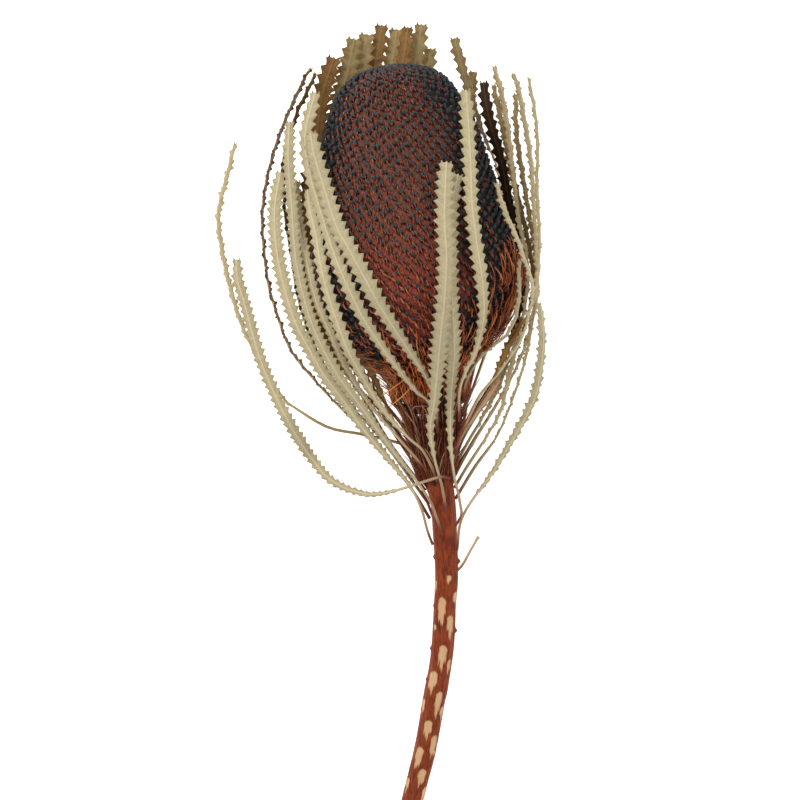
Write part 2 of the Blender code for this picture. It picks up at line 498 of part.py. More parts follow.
def make_stem(collection):
    """The cut stem with its flared woolly neck, and on the bark its knobs and one dry leaf stalk."""
    axis = (HEAD_TIP - HEAD_BASE).normalized()
    top = HEAD_BASE - axis * NECK_GAP
    route, _ = smooth_route(((*top, HEAD_PROFILE[0][1]), *STEM_ROUTE), 4.4)
    stem = add_object("stem", tube(route[:, :3], route[:, 3], 16), "bark", collection)
    extras = bpy.data.collections.new("on the bark")
    collection.children.link(extras)
    for place, stands in BARK_KNOBS:
        bm = bmesh.new()
        bmesh.ops.create_icosphere(bm, subdivisions=1, radius=stands)
        bmesh.ops.scale(bm, vec=(0.9, 1.4, 0.9), verts=bm.verts)
        bmesh.ops.translate(bm, vec=place, verts=bm.verts)
        add_object("knob", bm, "bark", extras)
    stub, _ = smooth_route(PETIOLE_STUB, 4)
    add_object("stub", tube(stub, [STUB_RADIUS] * len(stub), 8), "bark", extras)
    join = stem.modifiers.new("join", "BOOLEAN")
    join.operation = "UNION"
    join.operand_type = "COLLECTION"
    join.collection = extras
    bpy.context.view_layer.update()
    graph = bpy.context.evaluated_depsgraph_get()
    joined = bpy.data.meshes.new_from_object(stem.evaluated_get(graph))
    stem.modifiers.clear()
    stem.data = joined
    for obj in list(extras.objects):
        bpy.data.objects.remove(obj)
    bpy.data.collections.remove(extras)
    for vert in joined.vertices:
        vert.co.z = max(vert.co.z, 0)
    joined.shade_smooth()
    joined.set_sharp_from_angle(angle=radians(40))
    return stem


def main():
    """Build the whole object."""
    clear_scene()
    collection = bpy.data.collections.new("banksia flower head")
    bpy.context.scene.collection.children.link(collection)
    make_stem(collection)
    make_head(collection)
    pile = Pile()
    for leaf in LOWER_LEAVES:
        make_leaf(leaf, *laid_leaf(leaf, pile), collection)
    pile_up_head_and_stem(pile)
    for leaf in UPPER_LEAVES:
        make_leaf(leaf, *laid_leaf(leaf, pile), collection)


main()
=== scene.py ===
"""The looks of a dried banksia flower head on its cut stem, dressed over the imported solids.

The part lies on a pale floor and the camera looks straight down on it. Inside the classes, lengths are
millimetres in the part's own frame: +Y from the cut end to the tip of the head, +X to the right and +Z up.
They turn to metres by MM where a mesh is made. Routes and forms repeat those of the solids, so each fine
piece lies where its solid does.
"""

import logging
from dataclasses import dataclass
from enum import Enum
from math import pi, radians

import bpy
import numpy as np
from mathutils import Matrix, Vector


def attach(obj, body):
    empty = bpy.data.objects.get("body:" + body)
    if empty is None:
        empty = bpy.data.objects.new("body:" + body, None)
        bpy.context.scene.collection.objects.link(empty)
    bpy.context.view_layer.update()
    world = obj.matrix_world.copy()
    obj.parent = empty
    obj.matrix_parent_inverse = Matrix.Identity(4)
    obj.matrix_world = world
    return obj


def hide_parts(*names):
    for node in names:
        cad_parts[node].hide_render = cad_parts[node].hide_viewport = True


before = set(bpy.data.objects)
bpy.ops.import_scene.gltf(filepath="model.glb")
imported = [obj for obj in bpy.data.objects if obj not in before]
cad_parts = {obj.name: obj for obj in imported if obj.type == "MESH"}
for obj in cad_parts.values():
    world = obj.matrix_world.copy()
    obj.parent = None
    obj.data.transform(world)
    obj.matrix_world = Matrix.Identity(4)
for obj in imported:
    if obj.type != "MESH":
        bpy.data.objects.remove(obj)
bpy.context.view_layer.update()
LOG = logging.getLogger("banksia")
MM = 0.001
FLOOR_GAP = 0.02  # the lowest that a fine piece reaches
UP = np.array([0.0, 0.0, 1.0])
BODY = "root"


def linear(code: str) -> tuple[float, float, float, float]:
    """Turn an sRGB hex colour into linear RGBA.

    Args:
        code: six hex digits.

    Returns:
        The colour as Blender's sockets take it.
    """
    channels = [int(code[i:i + 2], 16) / 255 for i in (0, 2, 4)]
    return (*(c / 12.92 if c <= 0.04045 else ((c + 0.055) / 1.055) ** 2.4 for c in channels), 1.0)


def per_mm(size: float) -> float:
    """The texture scale, in Blender's metres, that gives a pattern features of this size in millimetres."""
    return 1 / (size * MM)


def add_node(
    tree: bpy.types.NodeTree, kind: str, settings: dict | None = None, links: dict | None = None
) -> bpy.types.Node:
    """Add a shader node with its settings and links.

    Args:
        tree: the material's node tree.
        kind: the node's type, without its ShaderNode prefix.
        settings: properties by name, and values of input sockets by name or number.
        links: sockets to link into the inputs, by name or number.

    Returns:
        The node.
    """
    node = tree.nodes.new("ShaderNode" + kind)
    for key, value in (settings or {}).items():
        if isinstance(key, str) and hasattr(node, key):
            setattr(node, key, value)
        else:
            node.inputs[key].default_value = value
    for key, socket in (links or {}).items():
        tree.links.new(socket, node.inputs[key])
    return node


def new_material(name: str) -> tuple[bpy.types.Material, bpy.types.NodeTree]:
    """Make an empty node material.

    Args:
        name: what the material is.

    Returns:
        The material and its tree.
    """
    material = bpy.data.materials.new(name)
    material.use_nodes = True
    material.node_tree.nodes.clear()
    return material, material.node_tree


def close_material(tree: bpy.types.NodeTree, settings: dict, links: dict) -> None:
    """End a material's tree with its Principled shader and its output.

    Args:
        tree: the material's node tree.
        settings: the shader's constant sockets.
        links: the sockets that drive the shader.
    """
    shader = add_node(tree, "BsdfPrincipled", settings, links)
    add_node(tree, "OutputMaterial", links={"Surface": shader.outputs["BSDF"]})


@dataclass(frozen=True)
class LeafFace:
    """One face of a dried banksia leaf: a tough, matt blade with a raised midrib and faint side veins.

    The outer face keeps a pale, slightly woolly bloom. The inner face is bare and has dried olive to brown.
    """

    name: str
    blade: str
    margin: str
    fleck: str
    midrib: str
    petiole: str
    flecks: float  # how strongly the flecks show
    roughness: float = 0.62
    stalk_root: str = "7A3C28"  # as red as the bark
    blot: float = 2.4  # size of the blots that the flecks make
    vein_pitch: float = 3.7
    pit: float = 0.42  # size of the pits between the veins

    def material(self) -> bpy.types.Material:
        """Blade colour from midrib to teeth, mottled, with side veins to the teeth and a pinkish stalk."""
        material, tree = new_material(self.name)
        place = add_node(tree, "TexCoord")
        across, rib, run, tint, root = (
            add_node(tree, "Attribute", {"attribute_name": name}).outputs["Fac"]
            for name in ("across", "rib", "run", "tint", "root"))
        to_margin = add_node(tree, "MapRange", {
            "interpolation_type": "SMOOTHSTEP", "From Min": 0.35, "From Max": 1.0,
        }, {"Value": across})
        ground = add_node(tree, "Mix", {
            "data_type": "RGBA", 6: linear(self.blade), 7: linear(self.margin),
        }, {0: to_margin.outputs["Result"]})
        blots = add_node(tree, "TexNoise", {"Scale": per_mm(self.blot), "Detail": 4.0, "Roughness": 0.62}, {
            "Vector": place.outputs["Object"]})
        blot_share = add_node(tree, "MapRange", {
            "interpolation_type": "SMOOTHSTEP", "From Min": 0.46, "From Max": 0.68, "To Max": self.flecks,
        }, {"Value": blots.outputs["Fac"]})
        mottled = add_node(tree, "Mix", {"data_type": "RGBA", 7: linear(self.fleck)}, {
            0: blot_share.outputs["Result"], 6: ground.outputs[2]})
        # Side veins slant forward from the midrib
        slant = add_node(tree, "Math", {"operation": "MULTIPLY_ADD", 1: -0.75}, {
            0: rib, 2: run})
        phase = add_node(tree, "Math", {"operation": "MULTIPLY", 1: 2 * pi / self.vein_pitch}, {
            0: slant.outputs[0]})
        wave = add_node(tree, "Math", {"operation": "SINE"}, {0: phase.outputs[0]})
        vein = add_node(tree, "MapRange", {
            "interpolation_type": "SMOOTHSTEP", "From Min": 0.8, "From Max": 1.0, "To Max": 0.3,
        }, {"Value": wave.outputs[0]})
        veined = add_node(tree, "Mix", {"data_type": "RGBA", 7: linear(self.midrib)}, {
            0: vein.outputs["Result"], 6: mottled.outputs[2]})
        # Pits between the veins hold a little shade
        pits = add_node(tree, "TexVoronoi", {"Scale": per_mm(self.pit)}, {"Vector": place.outputs["Object"]})
        pit_shade = add_node(tree, "MapRange", {
            "From Min": 0.0, "From Max": 0.6, "To Min": 0.86, "To Max": 1.05,
        }, {"Value": pits.outputs["Distance"]})
        pitted = add_node(tree, "Mix", {"data_type": "RGBA", "blend_type": "MULTIPLY", 0: 1.0}, {
            6: veined.outputs[2], 7: pit_shade.outputs["Result"]})
        # The midrib is about 0.6 mm wide
        on_rib = add_node(tree, "MapRange", {
            "interpolation_type": "SMOOTHSTEP", "From Min": 0.36, "From Max": 0.2, "To Max": 0.9,
        }, {"Value": rib})
        ribbed = add_node(tree, "Mix", {"data_type": "RGBA", 7: linear(self.midrib)}, {
            0: on_rib.outputs["Result"], 6: pitted.outputs[2]})
        on_stalk = add_node(tree, "MapRange", {
            "interpolation_type": "SMOOTHSTEP", "From Min": 1.0, "From Max": -14.0,
        }, {"Value": run})
        stalked = add_node(tree, "Mix", {"data_type": "RGBA", 7: linear(self.petiole)}, {
            0: on_stalk.outputs["Result"], 6: ribbed.outputs[2]})
        rooted = add_node(tree, "Mix", {"data_type": "RGBA", 7: linear(self.stalk_root)}, {
            0: root, 6: stalked.outputs[2]})
        shade = add_node(tree, "MapRange", {"To Min": 0.84, "To Max": 1.1}, {"Value": tint})
        varied = add_node(tree, "Mix", {"data_type": "RGBA", "blend_type": "MULTIPLY", 0: 1.0}, {
            6: rooted.outputs[2], 7: shade.outputs["Result"]})
        dented = add_node(tree, "Bump", {"Strength": 0.5, "Distance": 0.12 * MM}, {
            "Height": pits.outputs["Distance"]})
        raised = add_node(tree, "Bump", {"Strength": 0.6, "Distance": 0.15 * MM}, {
            "Height": vein.outputs["Result"], "Normal": dented.outputs["Normal"]})
        close_material(tree, {"Roughness": self.roughness, "IOR": 1.45, "Specular IOR Level": 0.3}, {
            "Base Color": varied.outputs[2], "Normal": raised.outputs["Normal"]})
        return material


# Outer faces: dull straw under a thin bloom, as such leaves dry
PALE_BLOOM = LeafFace(
    "dried leaf, pale woolly outer face", "C3B68F", "B3A67F", "9E906A", "DECBA8", "B59474", 0.4)
STRAW_BLOOM = LeafFace(
    "dried leaf, straw outer face", "BCA984", "AD9A6C", "9A8458", "CDBB90", "9C875A", 0.5)
PINK_BLOOM = LeafFace(
    "dried leaf, pink-flushed outer face", "CFA588", "BB9468", "B07F58", "DDB596", "A8694A", 0.5)
# Inner faces: bare and leathery, from olive to dark brown
OLIVE_SKIN = LeafFace(
    "dried leaf, olive inner face", "AC966A", "9A8452", "8E6234", "B8A474", "85492F", 0.7, 0.5)
BROWN_SKIN = LeafFace(
    "dried leaf, brown inner face", "9A7242", "8A6230", "744624", "A48252", "7B3F29", 0.7, 0.5)
# An inner face near black, darker than the brown one
DARK_SKIN = LeafFace(
    "dried leaf, near-black inner face", "4A3828", "37291C", "2A2119", "6B4E38", "6B4630", 0.7, 0.5)


class Tone(Enum):
    """The look of a leaf: its outer face, its inner face and the name of its slot."""

    PALE = (PALE_BLOOM, OLIVE_SKIN, "leaf_pale")
    TAN = (STRAW_BLOOM, OLIVE_SKIN, "leaf_pale")
    PINK = (PINK_BLOOM, BROWN_SKIN, "leaf_pale")
    OLIVE = (STRAW_BLOOM, OLIVE_SKIN, "leaf_inner")
    BROWN = (STRAW_BLOOM, BROWN_SKIN, "leaf_inner")
    DARK = (STRAW_BLOOM, DARK_SKIN, "leaf_dark")


@dataclass(frozen=True)
class Strand:
    """A dried plant thread, such as a style or a hair: dull at its root and brighter towards its free end."""

    name: str
    root: str
    body: str
    bright: str
    bright_from: float
    roughness: float = 0.5

    def material(self) -> bpy.types.Material:
        """Colour by the way along the thread, with a share of the threads bright."""
        material, tree = new_material(self.name)
        reach = add_node(tree, "Attribute", {"attribute_name": "reach"})
        tint = add_node(tree, "Attribute", {"attribute_name": "tint"})
        picked = add_node(tree, "MapRange", {
            "interpolation_type": "SMOOTHSTEP", "From Min": self.bright_from, "From Max": 1.0,
        }, {"Value": tint.outputs["Fac"]})
        drawn = add_node(tree, "Mix", {
            "data_type": "RGBA", 6: linear(self.body), 7: linear(self.bright),
        }, {0: picked.outputs["Result"]})
        near_end = add_node(tree, "MapRange", {
            "interpolation_type": "SMOOTHSTEP", "From Min": 0.05, "From Max": 0.75,
        }, {"Value": reach.outputs["Fac"]})
        graded = add_node(tree, "Mix", {"data_type": "RGBA", 6: linear(self.root)}, {
            0: near_end.outputs["Result"], 7: drawn.outputs[2]})
        # Fine dust and scuffs of about 0.3 mm
        place = add_node(tree, "TexCoord")
        dust = add_node(tree, "TexNoise", {"Scale": per_mm(0.3), "Detail": 2.0}, {
            "Vector": place.outputs["Object"]})
        dusty = add_node(tree, "MapRange", {"To Min": 0.7, "To Max": 1.3}, {"Value": dust.outputs["Fac"]})
        spread = add_node(tree, "Mix", {"data_type": "RGBA", "blend_type": "MULTIPLY", 0: 1.0}, {
            6: graded.outputs[2], 7: dusty.outputs["Result"]})
        close_material(tree, {"Roughness": self.roughness, "IOR": 1.5, "Specular IOR Level": 0.4}, {
            "Base Color": spread.outputs[2]})
        return material


PERIANTH = Strand("dried floret tube, rust felt", "3A2019", "34221E", "B4664C", 0.0, 0.8)
LIMB = Strand("dried floret limb, blue-black wax", "3A2C28", "283438", "575B5E", 0.0, 0.7)
STYLE = Strand("dried style, tough and red-brown", "6A3226", "A84C30", "E8803A", 0.5, 0.5)
LOOSE_STYLE = Strand("old loose style, orange-brown", "5F2A1C", "C05829", "EE8E45", 0.25, 0.4)
FLARED_STYLE = Strand("old flared style, brown", "4E2A1E", "A26F46", "D2A16E", 0.4, 0.45)
STRAY_STYLE = Strand("stray style, pale orange", "C8732C", "D98A3C", "E39A4C", 0.3, 0.4)
GREY_THREAD = Strand("withered thread, grey-brown", "8A6A58", "9C7F70", "B09484", 0.5, 0.6)
WOOL = Strand("neck wool, maroon hair", "30110E", "7A3A26", "B86C3C", 0.6, 0.75)
BRISTLE = Strand("neck bristle, red-brown", "63301F", "8C5236", "C08C5A", 0.5, 0.6)
DRY_STALK = Strand("dry leaf stalk, straw", "8A4A2C", "C4A67C", "CFB48C", 0.2, 0.6)


@dataclass(frozen=True)
class Felt:
    """The floor of the head between the florets: matted rust-brown hair on the bracts."""

    name: str = "bract felt, matted rust hair"
    dark: str = "33282A"
    light: str = "A0644A"
    low_dark: str = "523230"
    low_light: str = "C85A3C"
    # The last two colours are painted shade for the head's sides, near black
    side: str = "222B2A"
    side_shade_light: str = "4C3A34"

    def material(self) -> bpy.types.Material:
        """Slanting tufts, 0.5 mm wide and three times as long, redder low down, with painted shade at the
        sides.
        """
        material, tree = new_material(self.name)
        place = add_node(tree, "TexCoord")
        slanted = add_node(tree, "Mapping", {"Rotation": (0, 0, radians(-25)), "Scale": (1.0, 0.3, 1.0)}, {
            "Vector": place.outputs["Object"]})
        hairs = add_node(tree, "TexNoise", {"Scale": per_mm(0.5), "Detail": 5.0, "Roughness": 0.7}, {
            "Vector": slanted.outputs["Vector"]})
        tufts = add_node(tree, "MapRange", {"From Min": 0.36, "From Max": 0.66}, {
            "Value": hairs.outputs["Fac"]})
        low = add_node(tree, "Attribute", {"attribute_name": "low"})
        upper = add_node(tree, "Mix", {"data_type": "RGBA", 6: linear(self.dark), 7: linear(self.light)}, {
            0: tufts.outputs["Result"]})
        lower = add_node(tree, "Mix", {
            "data_type": "RGBA", 6: linear(self.low_dark), 7: linear(self.low_light),
        }, {0: tufts.outputs["Result"]})
        unshaded = add_node(tree, "Mix", {"data_type": "RGBA"}, {
            0: low.outputs["Fac"], 6: upper.outputs[2], 7: lower.outputs[2]})
        # Painted shade: the head's sides, which turn away from the light and lie under the leaves, go near
        # black
        aside = add_node(tree, "Attribute", {"attribute_name": "aside"})
        black = add_node(tree, "Mix", {
            "data_type": "RGBA", 6: linear(self.side), 7: linear(self.side_shade_light),
        }, {0: tufts.outputs["Result"]})
        colour = add_node(tree, "Mix", {"data_type": "RGBA"}, {
            0: aside.outputs["Fac"], 6: unshaded.outputs[2], 7: black.outputs[2]})
        bump = add_node(tree, "Bump", {"Strength": 0.9, "Distance": 0.3 * MM}, {
            "Height": hairs.outputs["Fac"]})
        close_material(tree, {"Roughness": 0.95, "Specular IOR Level": 0.15}, {
            "Base Color": colour.outputs[2], "Normal": bump.outputs["Normal"]})
        return material


@dataclass(frozen=True)
class Bark:
    """Young banksia bark: thin, smooth and red-brown, streaked lengthwise, with pale scars of old leaves."""

    name: str = "young bark, red-brown with leaf scars"
    red: str = "8C3E20"
    light: str = "9A4826"
    dark: str = "5C2416"
    scar: str = "E6BC92"
    scar_edge: str = "D2A272"
    wool: str = "3A1610"

    def material(self) -> bpy.types.Material:
        """Streaks 0.7 mm wide and 14 mm long over clouds of 5 mm, and scars by the mesh's own mask."""
        material, tree = new_material(self.name)
        place = add_node(tree, "TexCoord")
        scar = add_node(tree, "Attribute", {"attribute_name": "scar"})
        neck = add_node(tree, "Attribute", {"attribute_name": "neck"})
        drawn_out = add_node(tree, "Mapping", {"Scale": (1.0, 0.05, 1.0)}, {
            "Vector": place.outputs["Object"]})
        streaks = add_node(tree, "TexNoise", {"Scale": per_mm(0.7), "Detail": 4.0, "Roughness": 0.6}, {
            "Vector": drawn_out.outputs["Vector"]})
        clouds = add_node(tree, "TexNoise", {"Scale": per_mm(5.0), "Detail": 3.0}, {
            "Vector": place.outputs["Object"]})
        wide = add_node(tree, "MapRange", {"From Min": 0.38, "From Max": 0.62}, {
            "Value": clouds.outputs["Fac"]})
        ground = add_node(tree, "Mix", {"data_type": "RGBA", 6: linear(self.red), 7: linear(self.light)}, {
            0: wide.outputs["Result"]})
        thin = add_node(tree, "MapRange", {
            "interpolation_type": "SMOOTHSTEP", "From Min": 0.56, "From Max": 0.36, "To Max": 0.7,
        }, {"Value": streaks.outputs["Fac"]})
        streaked = add_node(tree, "Mix", {"data_type": "RGBA", 7: linear(self.dark)}, {
            0: thin.outputs["Result"], 6: ground.outputs[2]})
        woolly = add_node(tree, "Mix", {"data_type": "RGBA", 7: linear(self.wool)}, {
            0: neck.outputs["Fac"], 6: streaked.outputs[2]})
        scar_core = add_node(tree, "Mix", {
            "data_type": "RGBA", 6: linear(self.scar), 7: linear(self.scar_edge),
        }, {0: clouds.outputs["Fac"]})
        scarred = add_node(tree, "Mix", {"data_type": "RGBA"}, {
            0: scar.outputs["Fac"], 6: woolly.outputs[2], 7: scar_core.outputs[2]})
        bump = add_node(tree, "Bump", {"Strength": 0.6, "Distance": 0.2 * MM}, {
            "Height": streaks.outputs["Fac"]})
        close_material(tree, {"Roughness": 0.6, "IOR": 1.45, "Specular IOR Level": 0.15}, {
            "Base Color": scarred.outputs[2], "Normal": bump.outputs["Normal"]})
        return material


@dataclass(frozen=True)
class CutWood:
    """The cut end of the stem: dull, pale and finely speckled wood."""

    name: str = "cut wood, pale and speckled"
    dark: str = "A98358"
    light: str = "CDB088"

    def material(self) -> bpy.types.Material:
        """Saw-cut wood, grained in specks of about 0.25 mm."""
        material, tree = new_material(self.name)
        place = add_node(tree, "TexCoord")
        grain = add_node(tree, "TexNoise", {"Scale": per_mm(0.25), "Detail": 3.0}, {
            "Vector": place.outputs["Object"]})
        colour = add_node(tree, "Mix", {"data_type": "RGBA", 6: linear(self.dark), 7: linear(self.light)}, {
            0: grain.outputs["Fac"]})
        close_material(tree, {"Roughness": 0.8}, {"Base Color": colour.outputs[2]})
        return material


def unit(vectors: np.ndarray) -> np.ndarray:
    """Each vector scaled to length one."""
    return vectors / np.linalg.norm(vectors, axis=-1, keepdims=True)


def smoothstep(low: float, high: float, value: np.ndarray) -> np.ndarray:
    """0 below low, 1 above high and smooth between."""
    share = np.clip((value - low) / (high - low), 0, 1)
    return share * share * (3 - 2 * share)


def smooth_route(points: tuple, spacing: float = 1.0) -> tuple[np.ndarray, np.ndarray]:
    """Evenly spaced places along a Catmull-Rom curve through the points.

    Args:
        points: the given places, with any further columns, such as a radius.
        spacing: distance between the places.

    Returns:
        The places, and the distance of each from the start.
    """
    known = np.array(points, float)
    ends = 2 * known[0] - known[1], 2 * known[-1] - known[-2]
    padded = np.vstack([ends[0], known, ends[1]])
    fine = []
    for a, b, c, d in zip(padded, padded[1:], padded[2:], padded[3:]):
        for t in np.arange(0, 1, 0.05):
            bend = (2 * a - 5 * b + 4 * c - d) * t**2 + (3 * b - a - 3 * c + d) * t**3
            fine.append(0.5 * (2 * b + (c - a) * t + bend))
    fine = np.array([*fine, known[-1]])
    steps = np.linalg.norm(np.diff(fine[:, :3], axis=0), axis=1)
    run = np.concatenate([[0], np.cumsum(steps)])
    even = np.linspace(0, run[-1], max(2, round(run[-1] / spacing) + 1))
    return np.column_stack([np.interp(even, run, column) for column in fine.T]), even


def make_piece(
    name: str, points: np.ndarray, faces: tuple[np.ndarray, ...], materials: list[bpy.types.Material],
    parts: list[np.ndarray] | None = None, values: dict[str, np.ndarray] | None = None,
    sharp: float | None = None,
) -> bpy.types.Object:
    """Make one visible piece of the part, held just off the floor, that rides on its body.

    Args:
        name: the piece's name.
        points: its points, in millimetres.
        faces: arrays of point numbers, one array for each number of corners.
        materials: its materials.
        parts: for each array of faces, the number of each face's material.
        values: named numbers for each point, which the materials read.
        sharp: the angle, in degrees, past which an edge stays sharp.

    Returns:
        The piece.
    """
    mesh = bpy.data.meshes.new(name)
    corners = [face for group in faces for face in group.tolist()]
    places = points * MM
    places[:, 2] = np.maximum(places[:, 2], FLOOR_GAP * MM)
    mesh.from_pydata(places.tolist(), [], corners)
    for material in materials:
        mesh.materials.append(material)
    if parts is not None:
        mesh.polygons.foreach_set("material_index", np.concatenate(parts).astype(np.int32))
    for key, numbers in (values or {}).items():
        mesh.attributes.new(key, "FLOAT", "POINT").data.foreach_set("value", numbers.astype(np.float32))
    mesh.shade_smooth()
    if sharp is not None:
        mesh.set_sharp_from_angle(angle=np.radians(sharp))
    mesh.update()
    piece = bpy.data.objects.new(name, mesh)
    bpy.context.scene.collection.objects.link(piece)
    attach(piece, BODY)
    LOG.info("%s: %d points, %d faces", name, len(points), len(corners))
    return piece


def closed_grid(rings: int, around: int, flip: bool = False) -> tuple[np.ndarray, np.ndarray]:
    """Faces over rings of points, closed at each end by a fan round one further point.

    Args:
        rings: number of rings, whose points come first, ring by ring.
        around: points in a ring.
        flip: whether the rings turn the other way about their line.

    Returns:
        The walls as quads, and the fans at the first ring and the last as triangles.
    """
    index = np.arange(rings * around).reshape(rings, around)
    low, high = index[:-1], index[1:]
    walls = np.stack([low, high, np.roll(high, -1, 1), np.roll(low, -1, 1)], -1).reshape(-1, 4)
    first = np.stack([np.full(around, index.size), index[0], np.roll(index[0], -1)], -1)
    last = np.stack([np.full(around, index.size + 1), np.roll(index[-1], -1), index[-1]], -1)
    fans = np.vstack([first, last])
    return (walls[:, [0, 3, 2, 1]], fans[:, [0, 2, 1]]) if flip else (walls, fans)


@dataclass
class Tubes:
    """Many closed tubes of like make: their middle lines, radii and number of sides."""

    paths: np.ndarray  # tube, place, xyz
    radii: np.ndarray  # tube, place
    sides: int

    def points(self) -> np.ndarray:
        """The surface points, tube by tube and ring by ring."""
        along = unit(np.gradient(self.paths, axis=1))
        mostly_up = abs(along[:, :1, 2:]) > 0.8
        helper = np.where(mostly_up, np.array([1.0, 0.0, 0.0]), UP)
        side = unit(np.cross(along, helper))
        lift = np.cross(side, along)
        turn = np.arange(self.sides)[:, None] * 2 * pi / self.sides
        ring = np.cos(turn) * side[:, :, None] + np.sin(turn) * lift[:, :, None]
        return (self.paths[:, :, None] + self.radii[:, :, None, None] * ring).reshape(-1, 3)

    def faces(self) -> tuple[np.ndarray, np.ndarray]:
        """The walls as quads, tube by tube and ring by ring, and the two end faces of each tube."""
        count, rings = self.radii.shape
        index = np.arange(count * rings * self.sides).reshape(count, rings, self.sides)
        low, high = index[:, :-1], index[:, 1:]
        walls = np.stack([low, high, np.roll(high, -1, 2), np.roll(low, -1, 2)], -1).reshape(-1, 4)
        ends = np.concatenate([index[:, 0], index[:, -1, ::-1]])
        return walls, ends

    def values(self, tint: np.ndarray) -> dict[str, np.ndarray]:
        """What the finishes read at each point.

        Args:
            tint: a number from 0 to 1 for each tube.

        Returns:
            How far along its tube each point lies, and its tube's tint.
        """
        shape = (*self.radii.shape, self.sides)
        reach = np.linspace(0, 1, shape[1])[None, :, None]
        return {
            "reach": np.broadcast_to(reach, shape).ravel(),
            "tint": np.broadcast_to(tint[:, None, None], shape).ravel(),
        }


def strands_piece(name: str, tubes: Tubes, tint: np.ndarray, finish: Strand) -> bpy.types.Object:
    """Make a piece of threads that all have one finish.

    Args:
        name: the piece's name.
        tubes: the threads.
        tint: a number from 0 to 1 for each thread.
        finish: their finish.

    Returns:
        The piece.
    """
    return make_piece(
        name, tubes.points(), tubes.faces(), [finish.material()], values=tubes.values(tint))


@dataclass(frozen=True)
class HeadForm:
    """The blunt spike that the florets stand on: its axis, and its radius by the distance from its base."""

    base: tuple = (5.3, -46.8, 31.5)
    tip: tuple = (-9.7, 78.8, 42.2)
    profile: tuple = (
        (0, 10.2), (5, 11), (16, 12.6), (19.5, 16), (23, 20.5), (29.5, 28.8), (37, 33.1), (45.4, 37.1),
        (52, 37), (60, 36.7), (70.6, 34.6), (85, 31.7), (103.7, 27.4), (113, 23.4), (119.5, 19.8),
        (124, 14.5), (126.4, 7), (127.3, 0),
    )

    def line(self) -> tuple[np.ndarray, np.ndarray]:
        """The profile as a smooth curve: distance along the axis and radius, and the arc length to each."""
        curve, arc = smooth_route(tuple((along, radius, 0) for along, radius in self.profile), 0.25)
        return curve[:, :2], arc

    def arc_at(self, along: np.ndarray | float) -> np.ndarray | float:
        """The arc length from the base to each distance along the axis."""
        curve, arc = self.line()
        return np.interp(along, curve[:, 0], arc)

    def at(self, arc: np.ndarray) -> tuple[np.ndarray, np.ndarray]:
        """The distance along the axis, and the radius, at arc lengths from the base."""
        curve, marks = self.line()
        return np.interp(arc, marks, curve[:, 0]), np.interp(arc, marks, curve[:, 1])

    def directions(self) -> tuple[np.ndarray, np.ndarray, np.ndarray]:
        """The direction of the axis towards the tip, and those to its right and up from it."""
        axis = unit(np.array(self.tip) - np.array(self.base))
        right = unit(np.cross(axis, UP))
        return axis, right, np.cross(right, axis)

    def surface(self, arc: np.ndarray, turn: np.ndarray) -> tuple[np.ndarray, ...]:
        """Places on the head, and directions there.

        Args:
            arc: arc lengths from the base.
            turn: angles round the axis, 0 at the top and growing to the right.

        Returns:
            The place, the outward direction, the direction to the tip and the direction round the head.
        """
        curve, marks = self.line()
        along, radius = (values[..., None] for values in self.at(arc))
        rise = np.gradient(curve, marks, axis=0)
        d_along, d_radius = (np.interp(arc, marks, rise[:, i])[..., None] for i in (0, 1))
        length = np.hypot(d_along, d_radius)
        axis, right, lift = self.directions()
        radial = np.sin(turn)[..., None] * right + np.cos(turn)[..., None] * lift
        place = np.array(self.base) + axis * along + radial * np.maximum(radius, 0)
        outward = (d_along * radial - d_radius * axis) / length
        tipward = (d_along * axis + d_radius * radial) / length
        return place, outward, tipward, np.cross(outward, tipward)


